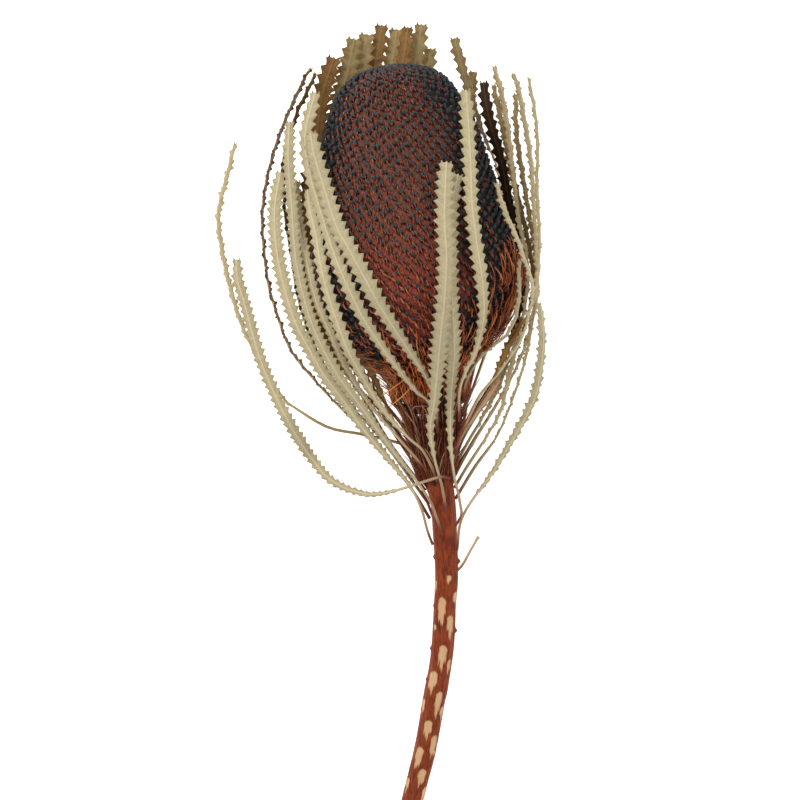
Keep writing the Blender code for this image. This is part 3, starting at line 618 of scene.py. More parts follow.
@dataclass
class FlowerHead:
    """The spike of florets, with the loose styles of its lower third."""

    form: HeadForm = HeadForm()
    divergence: float = 0.276393  # turns from one floret to the next, which gives 29 and 47 spirals
    rise: float = 0.052  # growth of arc length from one floret to the next, where the head is widest
    wide: float = 35.0  # the radius that the rise is given for
    lowest: float = 15.0  # where the florets start, along the axis
    felt_depth: float = 1.5
    felt_grid: tuple = (110, 140)
    pair_gap: float = 0.86  # between the two florets that stand together
    loose_count: int = 950
    flared_count: int = 320
    seed: int = 11

    def felt(self) -> None:
        """The floor between the florets, closed at both ends."""
        _, arc = self.form.line()
        rows, around = self.felt_grid
        rings = np.linspace(0, arc[-1], rows)[1:-1]
        turn = np.arange(around) * 2 * pi / around
        place, outward, _, _ = self.form.surface(rings[:, None], np.broadcast_to(turn, (len(rings), around)))
        points = (place - outward * self.felt_depth).reshape(-1, 3)
        ends, _, _, _ = self.form.surface(np.array([0.0, arc[-1]]), np.zeros(2))
        axis, _, _ = self.form.directions()
        middles = np.array(self.form.base) + axis * 0.2, ends[1] - axis * self.felt_depth
        points = np.vstack([points, *middles])
        along, _ = self.form.at(rings)
        low = np.append(np.repeat(self.low_share(along), around), [1, 0])
        # Painted shade, darkest at the head's sides
        aside = np.append(self.side_shade_share(turn, along[:, None]), [1, 0])
        faces = closed_grid(len(rings), around, flip=True)
        felt = make_piece(
            "head_felt", points, faces, [Felt().material()], values={"low": low, "aside": aside})
        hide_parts("flower_head")

    def low_share(self, along: np.ndarray) -> np.ndarray:
        """How far the look has changed from the blue-black top, at 0, to the rust-red foot, at 1."""
        return smoothstep(92, 34, along)

    def side_shade_share(self, turn: np.ndarray, along: np.ndarray) -> np.ndarray:
        """How much painted shade darkens the head, from none on its upper side, at 0, to black at its sides,
        at 1.
        """
        turn = (turn + pi) % (2 * pi) - pi + 0.1 * np.sin(0.23 * along)
        low = smoothstep(75, 45, along)
        left, right = 0.75 - 0.46 * low, 0.41 - 0.2 * low
        return np.where(turn > 0, smoothstep(0, 0.5, turn - right), smoothstep(0, 0.5, -turn - left))

    def lattice(self) -> tuple[np.ndarray, np.ndarray, np.ndarray]:
        """The florets' places: one spiral whose turns stand in 29 and 47 crossing rows.

        Returns:
            Arc lengths, angles round the axis, and the florets' size against the widest part's.
        """
        _, marks = self.form.line()
        stations = np.linspace(self.form.arc_at(self.lowest), marks[-1] - 0.8, 2000)
        _, radius = self.form.at(stations)
        steps = (np.maximum(radius, 4) / self.wide) ** 0.5 / self.rise
        count = np.concatenate([[0], np.cumsum((steps[1:] + steps[:-1]) / 2 * np.diff(stations))])
        number = np.arange(int(count[-1]))
        arc = np.interp(number, count, stations)
        _, radius = self.form.at(arc)
        return arc, 2 * pi * self.divergence * number, np.clip((radius / self.wide) ** 0.25, 0.62, 1)

    def florets(self) -> None:
        """Pairs of closed florets, each a rust tube with a blue-black waxy limb."""
        rng = np.random.default_rng(self.seed)
        arc, turn, size = self.lattice()
        place, outward, tipward, around = self.form.surface(arc, turn)
        twin = np.repeat(np.arange(len(arc)), 2)
        side = np.tile([-0.5, 0.5], len(arc)) * self.pair_gap
        jitter = rng.normal(0, 0.16, (len(twin), 3))
        scale = size[twin] * rng.uniform(0.9, 1.12, len(twin))
        along, _ = self.form.at(arc)
        low, aside = self.low_share(along), self.side_shade_share(turn, along)
        # Height over the head's surface, shift towards the tip and radius, from root to top
        limb = np.array([
            (-2.3, -0.9, 0.3), (-0.95, -0.65, 0.45), (-0.5, -0.35, 0.62), (-0.15, 0.05, 0.7),
            (0.12, 0.45, 0.6), (0.26, 0.75, 0.22),
        ])
        lean = rng.normal(0, 0.12, len(twin))
        shift = (limb[:, 1] + (limb[:, 0] + 2.3) * lean[:, None]) * scale[:, None]
        sink = limb[:, 0] - 0.3 * low[twin, None]
        paths = (
            place[twin, None] + outward[twin, None] * sink[..., None] + tipward[twin, None] * shift[..., None]
            + around[twin, None] * ((side * scale)[:, None] + jitter[:, :1] * 1.5)[..., None]
        )
        radii = limb[None, :, 2] * scale[:, None]
        half, sides = len(twin) // 2, 4
        finishes = [PERIANTH.material(), LIMB.material()]
        finish_of_ring = np.repeat([0, 1, 1, 1, 1], sides)
        for name, part in (("florets_lower", slice(0, half)), ("florets_upper", slice(half, None))):
            tubes = Tubes(paths[part], radii[part], sides)
            count = len(tubes.paths)
            # Random tints, darkened at the head's sides as painted shade
            pale = rng.uniform(0.2, 0.55, count) * (1 - 0.85 * aside[twin[part]])
            make_piece(
                name, tubes.points(), tubes.faces(), finishes,
                parts=[np.tile(finish_of_ring, count), np.repeat([0, 1], count)], values=tubes.values(pale))

    def bowed_styles(self) -> None:
        """Bowed styles: three to a pair of florets, fewer at the sides, longer and brighter low down."""
        rng = np.random.default_rng(self.seed + 3)
        arc, turn, size = self.lattice()
        along, radius = self.form.at(arc)
        low, aside = self.low_share(along), self.side_shade_share(turn, along)
        beside = np.repeat([-1.05, 0.5, -0.3], len(arc)) + rng.normal(0, 0.3, 3 * len(arc))
        above = np.repeat([0.6, -0.5, 0.1], len(arc)) + rng.normal(0, 0.4, 3 * len(arc))
        arc, turn, size, radius, low, aside = (
            np.tile(values, 3) for values in (arc, turn, size, radius, low, aside))
        # Fewer styles where the painted side shade falls
        keep = rng.uniform(0, 1, len(arc)) > 0.7 * aside
        arc, turn, size, radius, low, beside, above = (
            values[keep] for values in (arc, turn, size, radius, low, beside, above))
        place, outward, tipward, around = self.form.surface(
            np.minimum(arc + above, arc.max()), turn + beside / np.maximum(radius, 4))
        slant = np.radians(rng.normal(22, 12, len(arc)))[:, None]
        down = -tipward * np.cos(slant) - around * np.sin(slant)
        length = (rng.uniform(1.6, 2.7, len(arc)) + 2.2 * low * rng.uniform(0.3, 1, len(arc))) * size
        way = np.array([0, 0.3, 0.7, 1.0])
        height = np.array([-1.3, -0.2, -0.05, -0.9]) + 0.5 * low[:, None] * np.array([0.2, 1, 1, 0.6])
        paths = place[:, None] + outward[:, None] * height[..., None] + down[:, None] * (
            (way - 0.4) * length[:, None])[..., None]
        radii = np.array([0.25, 0.33, 0.3, 0.14]) * (size * rng.uniform(0.8, 1.15, len(arc)))[:, None]
        tint = rng.uniform(0, 1, len(arc)) * (0.5 + 0.5 * low)
        tint = np.where(rng.uniform(0, 1, len(arc)) < 0.05, 0.85, tint)
        strands_piece("styles_bowed", Tubes(paths, radii, 3), tint, STYLE)

    def loose_styles(self) -> None:
        """Old styles that have sprung free and lie along the head's lower third, thicker on its sides."""
        rng = np.random.default_rng(self.seed + 1)
        along = rng.uniform(2, 64, self.loose_count * 4)
        turn = rng.uniform(-pi, pi, self.loose_count * 4)
        off_top = abs(turn)
        right = 26 + 21 * smoothstep(0.45, 0.95, off_top)
        left = 26 - 9 * smoothstep(0.4, 0.8, off_top)
        limit = np.where(turn > 0, right, left) + rng.normal(0, 3, len(turn))
        keep = np.flatnonzero(along < limit)[:self.loose_count]
        along, turn = along[keep], turn[keep]
        length = rng.uniform(6, 13, len(along))
        way = np.linspace(0, 1, 7)
        arc = self.form.arc_at(along)[:, None] + length[:, None] * way
        _, radius = self.form.at(arc)
        drift = rng.normal(0, 1.6, len(along))[:, None] * way + rng.normal(0, 0.7, len(along))[:, None] * (
            np.sin(way * pi))
        place, outward, _, _ = self.form.surface(arc, turn[:, None] + drift / np.maximum(radius, 8))
        spring = rng.uniform(0.2, 1.5, len(along)) + 1.4 * (along < 24)
        height = -0.6 + 1.2 * smoothstep(0, 0.3, way) + spring[:, None] * np.sin(way * pi * 0.8)
        paths = place + outward * height[..., None]
        thick = rng.uniform(0.14, 0.24, len(along))
        radii = thick[:, None] * np.array([1, 1, 1, 0.95, 0.9, 0.8, 0.45])
        tint = rng.uniform(0, 1, len(along))
        strands_piece("styles_loose", Tubes(paths, radii, 4), tint, LOOSE_STYLE)

    def flared_styles(self) -> None:
        """Old styles that stand off the head's foot at its left and right, pointing to the tip."""
        rng = np.random.default_rng(self.seed + 2)
        side = np.where(rng.uniform(0, 1, self.flared_count) < 0.9, -1, 1)
        turn = side * rng.uniform(0.9, 2.6, self.flared_count)
        start = self.form.arc_at(6) + rng.uniform(0, 1, self.flared_count) * 30
        place, outward, tipward, around = self.form.surface(start, turn)
        way = np.linspace(0, 1, 6)
        length = (rng.uniform(7, 13, self.flared_count) * np.where(side > 0, 0.5, 1))[:, None]
        leave = rng.uniform(0.35, 0.85, self.flared_count)[:, None]
        bend = rng.normal(0, 0.12, self.flared_count)[:, None]
        out = -1.2 + length * leave * way + length * bend * way * (1 - way)
        forward = length * np.sqrt(1 - (0.9 * leave) ** 2) * way
        aside = length * rng.normal(0, 0.16, self.flared_count)[:, None] * way**2
        paths = (
            place[:, None] + outward[:, None] * out[..., None] + tipward[:, None] * forward[..., None]
            + around[:, None] * aside[..., None]
        )
        radii = rng.uniform(0.17, 0.25, self.flared_count)[:, None] * np.array([1, 1, 0.95, 0.9, 0.8, 0.5])
        tint = rng.uniform(0, 0.8, self.flared_count)
        strands_piece("styles_flared", Tubes(paths, radii, 4), tint, FLARED_STYLE)

    def stray_threads(self) -> None:
        """The few long threads that have slipped out in front of the neck."""
        strays = (
            ((-1.5, -32, 45.2), (-5.6, -34.6, 47.5), (-9.4, -37.4, 48.6), (-13.0, -39.9, 48.9)),
            ((1.2, -33.2, 44.9), (-2.4, -36.9, 47.3), (-6.2, -40.6, 48.6), (-10.3, -43.8, 48.9)),
            ((-17.4, -42.2, 46.9), (-18.9, -43.2, 47.4), (-21.0, -44.2, 47.2)),
        )
        greys = (
            ((3.4, -43.6, 44.2), (0.2, -43.7, 44.6), (-1.3, -43.9, 44.9), (-2.5, -45.5, 44.4)),
            ((4.0, -43.4, 44.0), (2.6, -42.0, 45.0), (2.0, -40.4, 45.4), (1.3, -39.4, 44.8)),
        )
        for name, routes, radius, finish in (
            ("styles_stray", strays, 0.27, STRAY_STYLE), ("threads_withered", greys, 0.2, GREY_THREAD),
        ):
            lines = [smooth_route(route, 0.8)[0] for route in routes]
            share = np.linspace(0, 1, 16)
            paths = np.array([[
                [np.interp(s, np.linspace(0, 1, len(line)), line[:, i]) for i in range(3)] for s in share
            ] for line in lines])
            radii = np.full(paths.shape[:2], radius) * (1 - 0.5 * share**3)
            strands_piece(name, Tubes(paths, radii, 6), np.linspace(0, 1, len(paths)), finish)

    def build(self) -> None:
        """Build the whole head."""
        self.felt()
        self.florets()
        self.bowed_styles()
        self.loose_styles()
        self.flared_styles()
        self.stray_threads()


@dataclass(frozen=True)
class Scar:
    """A scar that a fallen leaf left: its angle from the top, the place of its upper edge and its size."""

    turn: float  # degrees
    top: float  # along Y
    width: float
    length: float


@dataclass
class Stem:
    """The cut stem: its flared woolly neck, and red-brown bark with scars, knobs and one dry stalk."""

    head: HeadForm = HeadForm()
    neck_gap: float = 0.5
    route: tuple = (
        (5.8, -51.2, 31.1, 9.6), (5.5, -56.5, 30.5, 8.4), (5.7, -61.2, 29.8, 7.2),
        (6.4, -66.2, 29.1, 6.2), (7.4, -70.6, 28.5, 5.2), (8.9, -77.5, 27.4, 4.5),
        (9.7, -88.9, 25.7, 4.35), (10.3, -104.4, 23.2, 4.15), (9.7, -115.2, 21.4, 4.0),
        (9.1, -127.8, 19.0, 4.1), (8.1, -137.5, 17.1, 4.0), (6.4, -147.2, 15.2, 4.1),
        (5.6, -151.2, 14.4, 3.95), (2.9, -167.0, 11.3, 3.9), (-1.2, -183.2, 8.0, 3.85),
        (-6.1, -203.4, 3.95, 3.85),
    )  # middle line and radius, from the neck to the cut
    knobs: tuple = (
        ((5.7, -98.0, 26.0), 1.1), ((14.3, -99.5, 25.2), 1.1), ((5.3, -115.6, 22.6), 0.9),
        ((13.2, -124.6, 21.0), 1.0), ((4.3, -131.0, 18.6), 0.9), ((2.6, -142.1, 16.6), 0.9),
        ((5.6, -169.0, 13.8), 0.9), ((0.6, -174.5, 7.4), 1.0),
    )
    scars: tuple = (
        Scar(12, -104.0, 1.8, 2.9), Scar(-72, -106.2, 3.0, 5.2), Scar(65, -110.0, 2.6, 5.0),
        Scar(-16, -112.0, 3.2, 10.0), Scar(35, -118.4, 3.1, 8.3), Scar(-52, -122.0, 1.6, 2.4),
        Scar(4, -129.1, 3.2, 8.8), Scar(49, -134.2, 2.2, 5.2), Scar(-28, -139.0, 3.6, 7.9),
        Scar(23, -145.8, 2.7, 9.0), Scar(-66, -149.8, 2.6, 5.0), Scar(62, -151.2, 2.6, 5.0),
        Scar(-9, -156.6, 3.2, 6.4), Scar(39, -161.6, 2.7, 7.9), Scar(-29, -166.6, 3.3, 7.9),
        Scar(15, -174.0, 3.0, 6.1), Scar(-60, -178.6, 2.6, 5.0), Scar(62, -180.2, 2.6, 6.0),
        Scar(0, -186.5, 3.2, 6.5), Scar(-34, -192.0, 3.0, 6.0), Scar(36, -194.5, 2.8, 5.5),
    )
    stalk: tuple = ((11.5, -105.0, 23.6), (15.6, -101.5, 25.2), (18.8, -96.0, 26.6), (21.8, -90.7, 27.6))
    bark_grid: tuple = (0.36, 132)  # distance between rings, and points in a ring
    hair_grid: tuple = (0.42, 360)  # the same, for the roots of the wool
    wool_count: int = 1500
    bristle_count: int = 300
    seed: int = 5

    def hidden_scars(self) -> tuple:
        """Scars on the underside, which carry the spiral of those above on round the stem."""
        return tuple(
            Scar(115 + 130 * (0.5 + 0.5 * np.cos(2.4 * i)), -108.0 - 4.9 * i, 2.9, 5.5 + 2.5 * (i % 3))
            for i in range(18))

    def grid(self, spacing: float, around: int) -> tuple[np.ndarray, ...]:
        """The bare stem's surface.

        Args:
            spacing: distance between its rings.
            around: points in a ring.

        Returns:
            Ring centres with radii, angles, the outward direction at each point, and the run along the stem.
        """
        axis, _, _ = self.head.directions()
        top = np.array(self.head.base) - axis * self.neck_gap
        route, run = smooth_route(((*top, self.head.profile[0][1]), *self.route), spacing)
        along = unit(np.gradient(route[:, :3], axis=0))
        right = unit(np.cross(UP, along))
        lift = np.cross(along, right)
        turn = np.arange(around) * 2 * pi / around
        outward = np.sin(turn)[:, None] * right[:, None] + np.cos(turn)[:, None] * lift[:, None]
        return route, turn, outward, run

    def bark(self) -> None:
        """The stem's skin, with wrinkles, knobs and scars raised from it, and its cut end."""
        spacing, around = self.bark_grid
        route, turn, outward, run = self.grid(spacing, around)
        rng = np.random.default_rng(self.seed)
        radius = np.broadcast_to(route[:, 3, None], outward.shape[:2])
        neck = np.broadcast_to(smoothstep(-74, -60, route[:, 1])[:, None], radius.shape)
        wrinkle = np.zeros(radius.shape)
        for waves, slow, depth in ((5, 0.05, 0.10), (9, 0.11, 0.07), (14, 0.23, 0.05), (23, 0.4, 0.035)):
            wobble = rng.uniform(0, 2 * pi) + 1.4 * np.sin(run * slow + rng.uniform(0, 6))
            wrinkle += depth * np.sin(waves * turn + wobble[:, None]) * (1 + 2.2 * neck)
        places = route[:, None, :3] + outward * radius[..., None]
        for spot, stands in self.knobs:
            distance = np.linalg.norm(places - np.array(spot), axis=-1)
            wrinkle += stands * np.exp(-(distance / (0.85 * stands)) ** 2)
        scar = np.zeros(radius.shape)
        for mark in (*self.scars, *self.hidden_scars()):
            down = (mark.top - route[:, 1, None]) / mark.length
            aside = (turn - np.radians(mark.turn) + pi) % (2 * pi) - pi
            aside = abs(aside * radius + 0.1 * np.sin(1.7 * run[:, None] + mark.turn))
            ragged = 0.10 * np.sin(17 * turn + mark.top) + 0.08 * np.sin(31 * turn + 2 * mark.top)
            taper = smoothstep(-0.1, 0.16, down) * (1 - 0.8 * smoothstep(0.5, 1.05, down + ragged))
            inside = smoothstep(0.25, -0.25, aside - 0.44 * mark.width * taper)
            inside = inside * smoothstep(-0.04, 0.06, down) * smoothstep(1.1, 0.85, down + ragged)
            scar = np.maximum(scar, inside)
        rim = 4 * scar * (1 - scar)
        points = places + outward * (wrinkle + 0.14 * rim - 0.1 * scar)[..., None]
        points = np.vstack([points.reshape(-1, 3), route[0, :3], route[-1, :3]])
        walls, fans = closed_grid(len(route), around)
        skin = make_piece(
            "stem_bark", points, (walls, fans), [Bark().material(), CutWood().material()],
            parts=[np.zeros(len(walls)), np.repeat([0, 1], around)], sharp=50,
            values={"scar": np.append(scar, [0, 0]), "neck": np.append(neck, [0, 0])})
        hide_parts("stem")

    def wool(self) -> None:
        """Short maroon hair that lies upwards over the neck."""
        rng = np.random.default_rng(self.seed + 1)
        spacing, around = self.hair_grid
        route, _, outward, _ = self.grid(spacing, around)
        last = int(np.searchsorted(-route[:, 1], 72))
        ring = (rng.uniform(0, 1, self.wool_count) ** 0.8 * last).astype(int)
        spot = rng.integers(0, around, self.wool_count)
        way = np.linspace(0, 1, 6)
        length = rng.uniform(3, 8, self.wool_count)
        back = np.clip(ring[:, None] - np.round(length[:, None] * way / spacing).astype(int), 0, None)
        drift = np.round(rng.normal(0, 6, self.wool_count)[:, None] * way).astype(int)
        column = (spot[:, None] + drift) % around
        lifted = rng.uniform(0.2, 1.2, self.wool_count)[:, None] * np.sin(way * pi * 0.7)
        paths = route[back, :3] + outward[back, column] * (route[back, 3] - 0.15 + lifted)[..., None]
        overshoot = np.maximum(length[:, None] * way - ring[:, None] * spacing, 0)
        axis, _, _ = self.head.directions()
        paths = paths + axis * overshoot[..., None]
        radii = np.broadcast_to(np.array([1, 1, 1, 0.9, 0.7, 0.3]), paths.shape[:2]) * 0.16
        strands_piece("neck_wool", Tubes(paths, radii, 3), rng.uniform(0, 1, self.wool_count), WOOL)

    def bristles(self) -> None:
        """Stiff red-brown threads, worn floral bracts and old stalks, that fan from the neck to the head."""
        rng = np.random.default_rng(self.seed + 2)
        around = 360
        route, _, outward, _ = self.grid(0.36, around)
        first, last = (int(np.searchsorted(-route[:, 1], place)) for place in (48, 74))
        ring = rng.integers(first, last, self.bristle_count)
        column = rng.integers(0, around, self.bristle_count)
        axis, _, _ = self.head.directions()
        radial = outward[ring, column]
        radial = unit(radial - axis * (radial @ axis)[:, None])
        way = np.linspace(0, 1, 6)
        length = rng.uniform(8, 20, self.bristle_count)[:, None]
        leave = np.radians(rng.uniform(12, 34, self.bristle_count))[:, None]
        out = route[ring, 3][:, None] - 0.6 + length * np.sin(leave) * (0.6 * way + 0.4 * way**2)
        sway = length * rng.normal(0, 0.12, self.bristle_count)[:, None] * way**2
        aside = np.cross(radial, axis)
        paths = (
            route[ring, None, :3] + radial[:, None] * out[..., None]
            + axis * (length * np.cos(leave) * way)[..., None] + aside[:, None] * sway[..., None]
        )
        radii = rng.uniform(0.18, 0.3, self.bristle_count)[:, None] * np.array([1, 1, 0.9, 0.85, 0.7, 0.35])
        tint = rng.uniform(0, 1, self.bristle_count)
        strands_piece("neck_bristles", Tubes(paths, radii, 4), tint, BRISTLE)

    def dry_stalk(self) -> None:
        """The bare stalk of a lost leaf, which stands off the bark."""
        line, _ = smooth_route(self.stalk, 1.0)
        radii = np.interp(np.arange(len(line)), (0, 2, len(line) - 3, len(line) - 1), (0.75, 0.5, 0.45, 0.62))
        strands_piece("stalk_dry", Tubes(line[None], radii[None], 10), np.array([0.6]), DRY_STALK)

    def build(self) -> None:
        """Build the whole stem."""
        self.bark()
        self.wool()
        self.bristles()
        self.dry_stalk()


@dataclass(frozen=True)
class Leaf:
    """One leaf, with its face in degrees about its own line: 0 looks up, 90 to the right and 180 down."""

    name: str
    width: float  # over the teeth
    petiole: float  # length of the bare stalk
    face: tuple  # of the outer face, at the base and at the tip
    tone: Tone
    route: tuple  # from the stem to the tip


PALE, TAN, PINK, OLIVE, BROWN, DARK = Tone

# Leaves that lie under the head or beside it, lowest first. Routes run from the stem out to the tip
LOWER_LEAVES = (
    Leaf("leaf_crown_1", 7.4, 45, (178, 178), OLIVE, (
        (10.8, -76, 22.2), (12.5, -60, 17), (15, -40, 9.5), (17.5, -20, 3), (18.3, 0, 0.9), (14.5, 20, 0.9),
        (8, 40, 1.6), (4.5, 60, 4), (3.2, 75, 7), (4.7, 86, 10))),
    Leaf("leaf_crown_2", 7.6, 50, (180, 180), OLIVE, (
        (8.0, -81, 21.3), (3, -60, 14.5), (-5, -40, 9), (-13.5, -18, 3), (-18.5, 2, 0.9), (-16, 22, 0.9),
        (-10, 42, 2), (-5, 60, 5), (-1.5, 78, 9), (1.4, 94.7, 12))),
    Leaf("leaf_crown_4", 8.4, 50, (-165, -178), OLIVE, (
        (5.6, -84, 21.9), (-3, -62, 14), (-12, -42, 8), (-22.5, -18, 2.6), (-28, 4, 1.2), (-26.5, 24, 1.2),
        (-20.5, 44, 2.8), (-14.5, 62, 5), (-10, 78, 8), (-7.6, 92.9, 10))),
    Leaf("leaf_crown_3", 6.4, 32, (-172, -180), BROWN, (
        (5.4, -60, 21.4), (-3, -44, 15), (-12, -30, 9), (-21, -16, 4), (-26.5, 0, 2.4), (-24.5, 20, 2.3),
        (-15.5, 40, 3.7), (-10, 60, 6.7), (-6, 78, 9.7), (-3.6, 93.6, 11.5))),
    Leaf("leaf_crown_5", 7.6, 34, (-155, -175), BROWN, (
        (3.2, -64, 22), (-6, -50, 16.5), (-17, -36, 11), (-26.5, -20, 6), (-31.5, -2, 3.5), (-31.5, 18, 3),
        (-26.5, 40, 4), (-20.5, 60, 6.5), (-15.8, 78, 9), (-13, 94.3, 10.5))),
    Leaf("leaf_crown_6", 8.8, 34, (-145, -175), OLIVE, (
        (1.8, -69, 23.9), (-9, -53, 18), (-19, -36, 11), (-29, -18, 7.2), (-35, 0, 5.8), (-35.5, 20, 5.6),
        (-31, 42, 6.6), (-25.5, 62, 8), (-21, 78, 9.5), (-18.4, 91, 10.5))),
    Leaf("leaf_crown_7", 9.0, 36, (-125, -165), OLIVE, (
        (2.0, -73, 24.6), (-10, -57, 20.5), (-20, -40, 15.5), (-31, -22, 12.5), (-38, -2, 10.5),
        (-38.5, 20, 10), (-34.5, 42, 10.5), (-29.5, 62, 11.5), (-25.5, 77, 12.5), (-23, 89.3, 13.5))),
    Leaf("leaf_crown_8", 8.6, 34, (-125, -168), BROWN, (
        (-3.9, -58, 26.3), (-13, -46, 22.5), (-26, -32, 20), (-35.5, -16, 18.5), (-40, 2, 17.5),
        (-40.5, 20, 17.5), (-39, 38, 18), (-36.4, 55.8, 18.5), (-34.6, 68.4, 19.5), (-30.2, 82.4, 20.5))),
    Leaf("leaf_right_1", 5.8, 54, (165, 150), OLIVE, (
        (11.6, -72, 22.8), (15.5, -56, 17), (18.5, -38, 10), (22.7, -18, 4), (24, 2, 2.4), (21.8, 22, 2.4),
        (19, 42, 5), (18.5, 60, 10), (20.2, 77.4, 15))),
    Leaf("leaf_right_2", 6.6, 46, (-38, 145), OLIVE, (
        (10.1, -66, 22.3), (14, -52, 18.5), (21, -34, 13), (27.5, -14, 8.7), (31, 6, 8), (31.5, 24, 10.5),
        (28.6, 42, 16), (24.1, 53.6, 18.5), (19.4, 67.7, 21.5), (15.1, 81.7, 24.5), (13, 89.3, 26))),
    Leaf("leaf_right_3", 6.6, 36, (125, 142), DARK, (
        (12, -58, 24.5), (17, -50, 23), (26, -36, 20.5), (34, -18, 19), (38.2, -1.8, 18.5),
        (37.5, 12, 19), (34.6, 23.4, 20.5), (32.6, 31.9, 21.5), (29.9, 45.7, 23.5), (26.6, 56.9, 25),
        (24.7, 65.2, 26), (23.6, 73.4, 27))),
    Leaf("leaf_right_4", 5.0, 40, (112, 122), OLIVE, (
        (12.6, -63, 25), (18, -52, 25), (28, -36, 25.5), (37, -18, 25.5), (41.5, -2, 25.5),
        (40.5, 12, 26), (37, 28, 27), (34, 40, 28), (31.2, 53.6, 29), (29.4, 62.3, 29.5), (27, 72, 30))),
    Leaf("leaf_right_5", 5.0, 40, (108, 118), OLIVE, (
        (12.6, -70, 25.4), (19, -58, 27), (30, -40, 29.5), (38.5, -22, 31), (42.8, -2, 31.5),
        (42, 14, 32), (40.3, 24.1, 32.5), (37.8, 38.9, 33.5), (36.4, 47.9, 34), (35.3, 57.2, 34.5),
        (35.3, 68.8, 35))),
    Leaf("leaf_right_6", 5.6, 16, (80, 60), TAN, (
        (13.8, -60, 27.9), (19, -50, 29), (28.5, -34, 31), (36, -18, 33.5), (39.5, 0, 36),
        (38.8, 12, 37.5), (36.5, 22, 38.5), (35.1, 34.2, 39.5), (33.9, 43.2, 40), (32.8, 52.6, 40.5),
        (31.3, 62.3, 41), (29.7, 70.6, 41.5), (27.2, 78.5, 42))),
    Leaf("leaf_right_7", 5.6, 18, (80, 62), TAN, (
        (13.7, -67, 27.8), (20, -56, 30), (31, -38, 34.5), (38.5, -22, 37.5), (42.8, -4, 39.5),
        (42.6, 12, 41), (41.8, 27.4, 42), (41.3, 36.4, 42.3), (40.8, 43.2, 42.5), (39.5, 52.6, 43),
        (38.2, 59.6, 43.3), (36.7, 67.9, 43.6), (34.5, 76, 44))),
    Leaf("leaf_right_8", 5.0, 20, (78, 70), TAN, (
        (14.1, -76, 27.8), (20.5, -65.5, 31), (28.8, -53.3, 35.5), (36.3, -34.2, 40.5), (40.1, -19.1, 43.5),
        (42.5, 0.7, 46.5), (43.6, 15.5, 48), (42.7, 36.4, 49), (43, 45.7, 49), (42.6, 56.9, 49),
        (41.2, 66.6, 49), (39.5, 74.3, 49))),
    Leaf("leaf_left_1", 5.4, 18, (-95, -110), BROWN, (
        (3.3, -78, 26), (-12, -57, 29), (-28, -38, 33), (-38, -20, 35.5), (-43, -5, 36.5),
        (-45.5, 10.4, 37), (-47.6, 23.4, 37), (-48.4, 34.9, 37), (-48.2, 46.4, 37), (-43.6, 61.9, 37),
        (-41, 67.3, 37), (-36.9, 76.3, 37))),
    Leaf("leaf_left_2", 5.8, 22, (-98, -106), BROWN, (
        (3.7, -83.2, 26.6), (-2, -74, 27), (-14, -58, 28), (-28.8, -43.2, 29), (-37.8, -33.5, 29),
        (-46, -23, 29), (-51.5, -8.3, 29), (-54.4, 3.2, 29), (-56.2, 22, 29), (-55.4, 32.8, 29.5),
        (-53.6, 42.1, 30), (-50, 54, 31), (-45.7, 64.4, 32), (-41, 74.2, 33), (-38.7, 78.1, 33.5))),
    Leaf("leaf_left_3", 5.0, 45, (-60, -64), TAN, (
        (-3.4, -58, 32), (-10, -56, 33.4), (-20.9, -53.6, 34.5), (-31.7, -51.5, 34.5), (-41.4, -46.1, 34),
        (-50, -38.9, 33), (-60.5, -20.9, 31), (-64.8, -10.8, 30), (-68.4, 1.8, 29), (-71.3, 16.2, 29),
        (-71.8, 27, 30), (-68.4, 41, 32), (-65.9, 51.1, 33.5))),
)

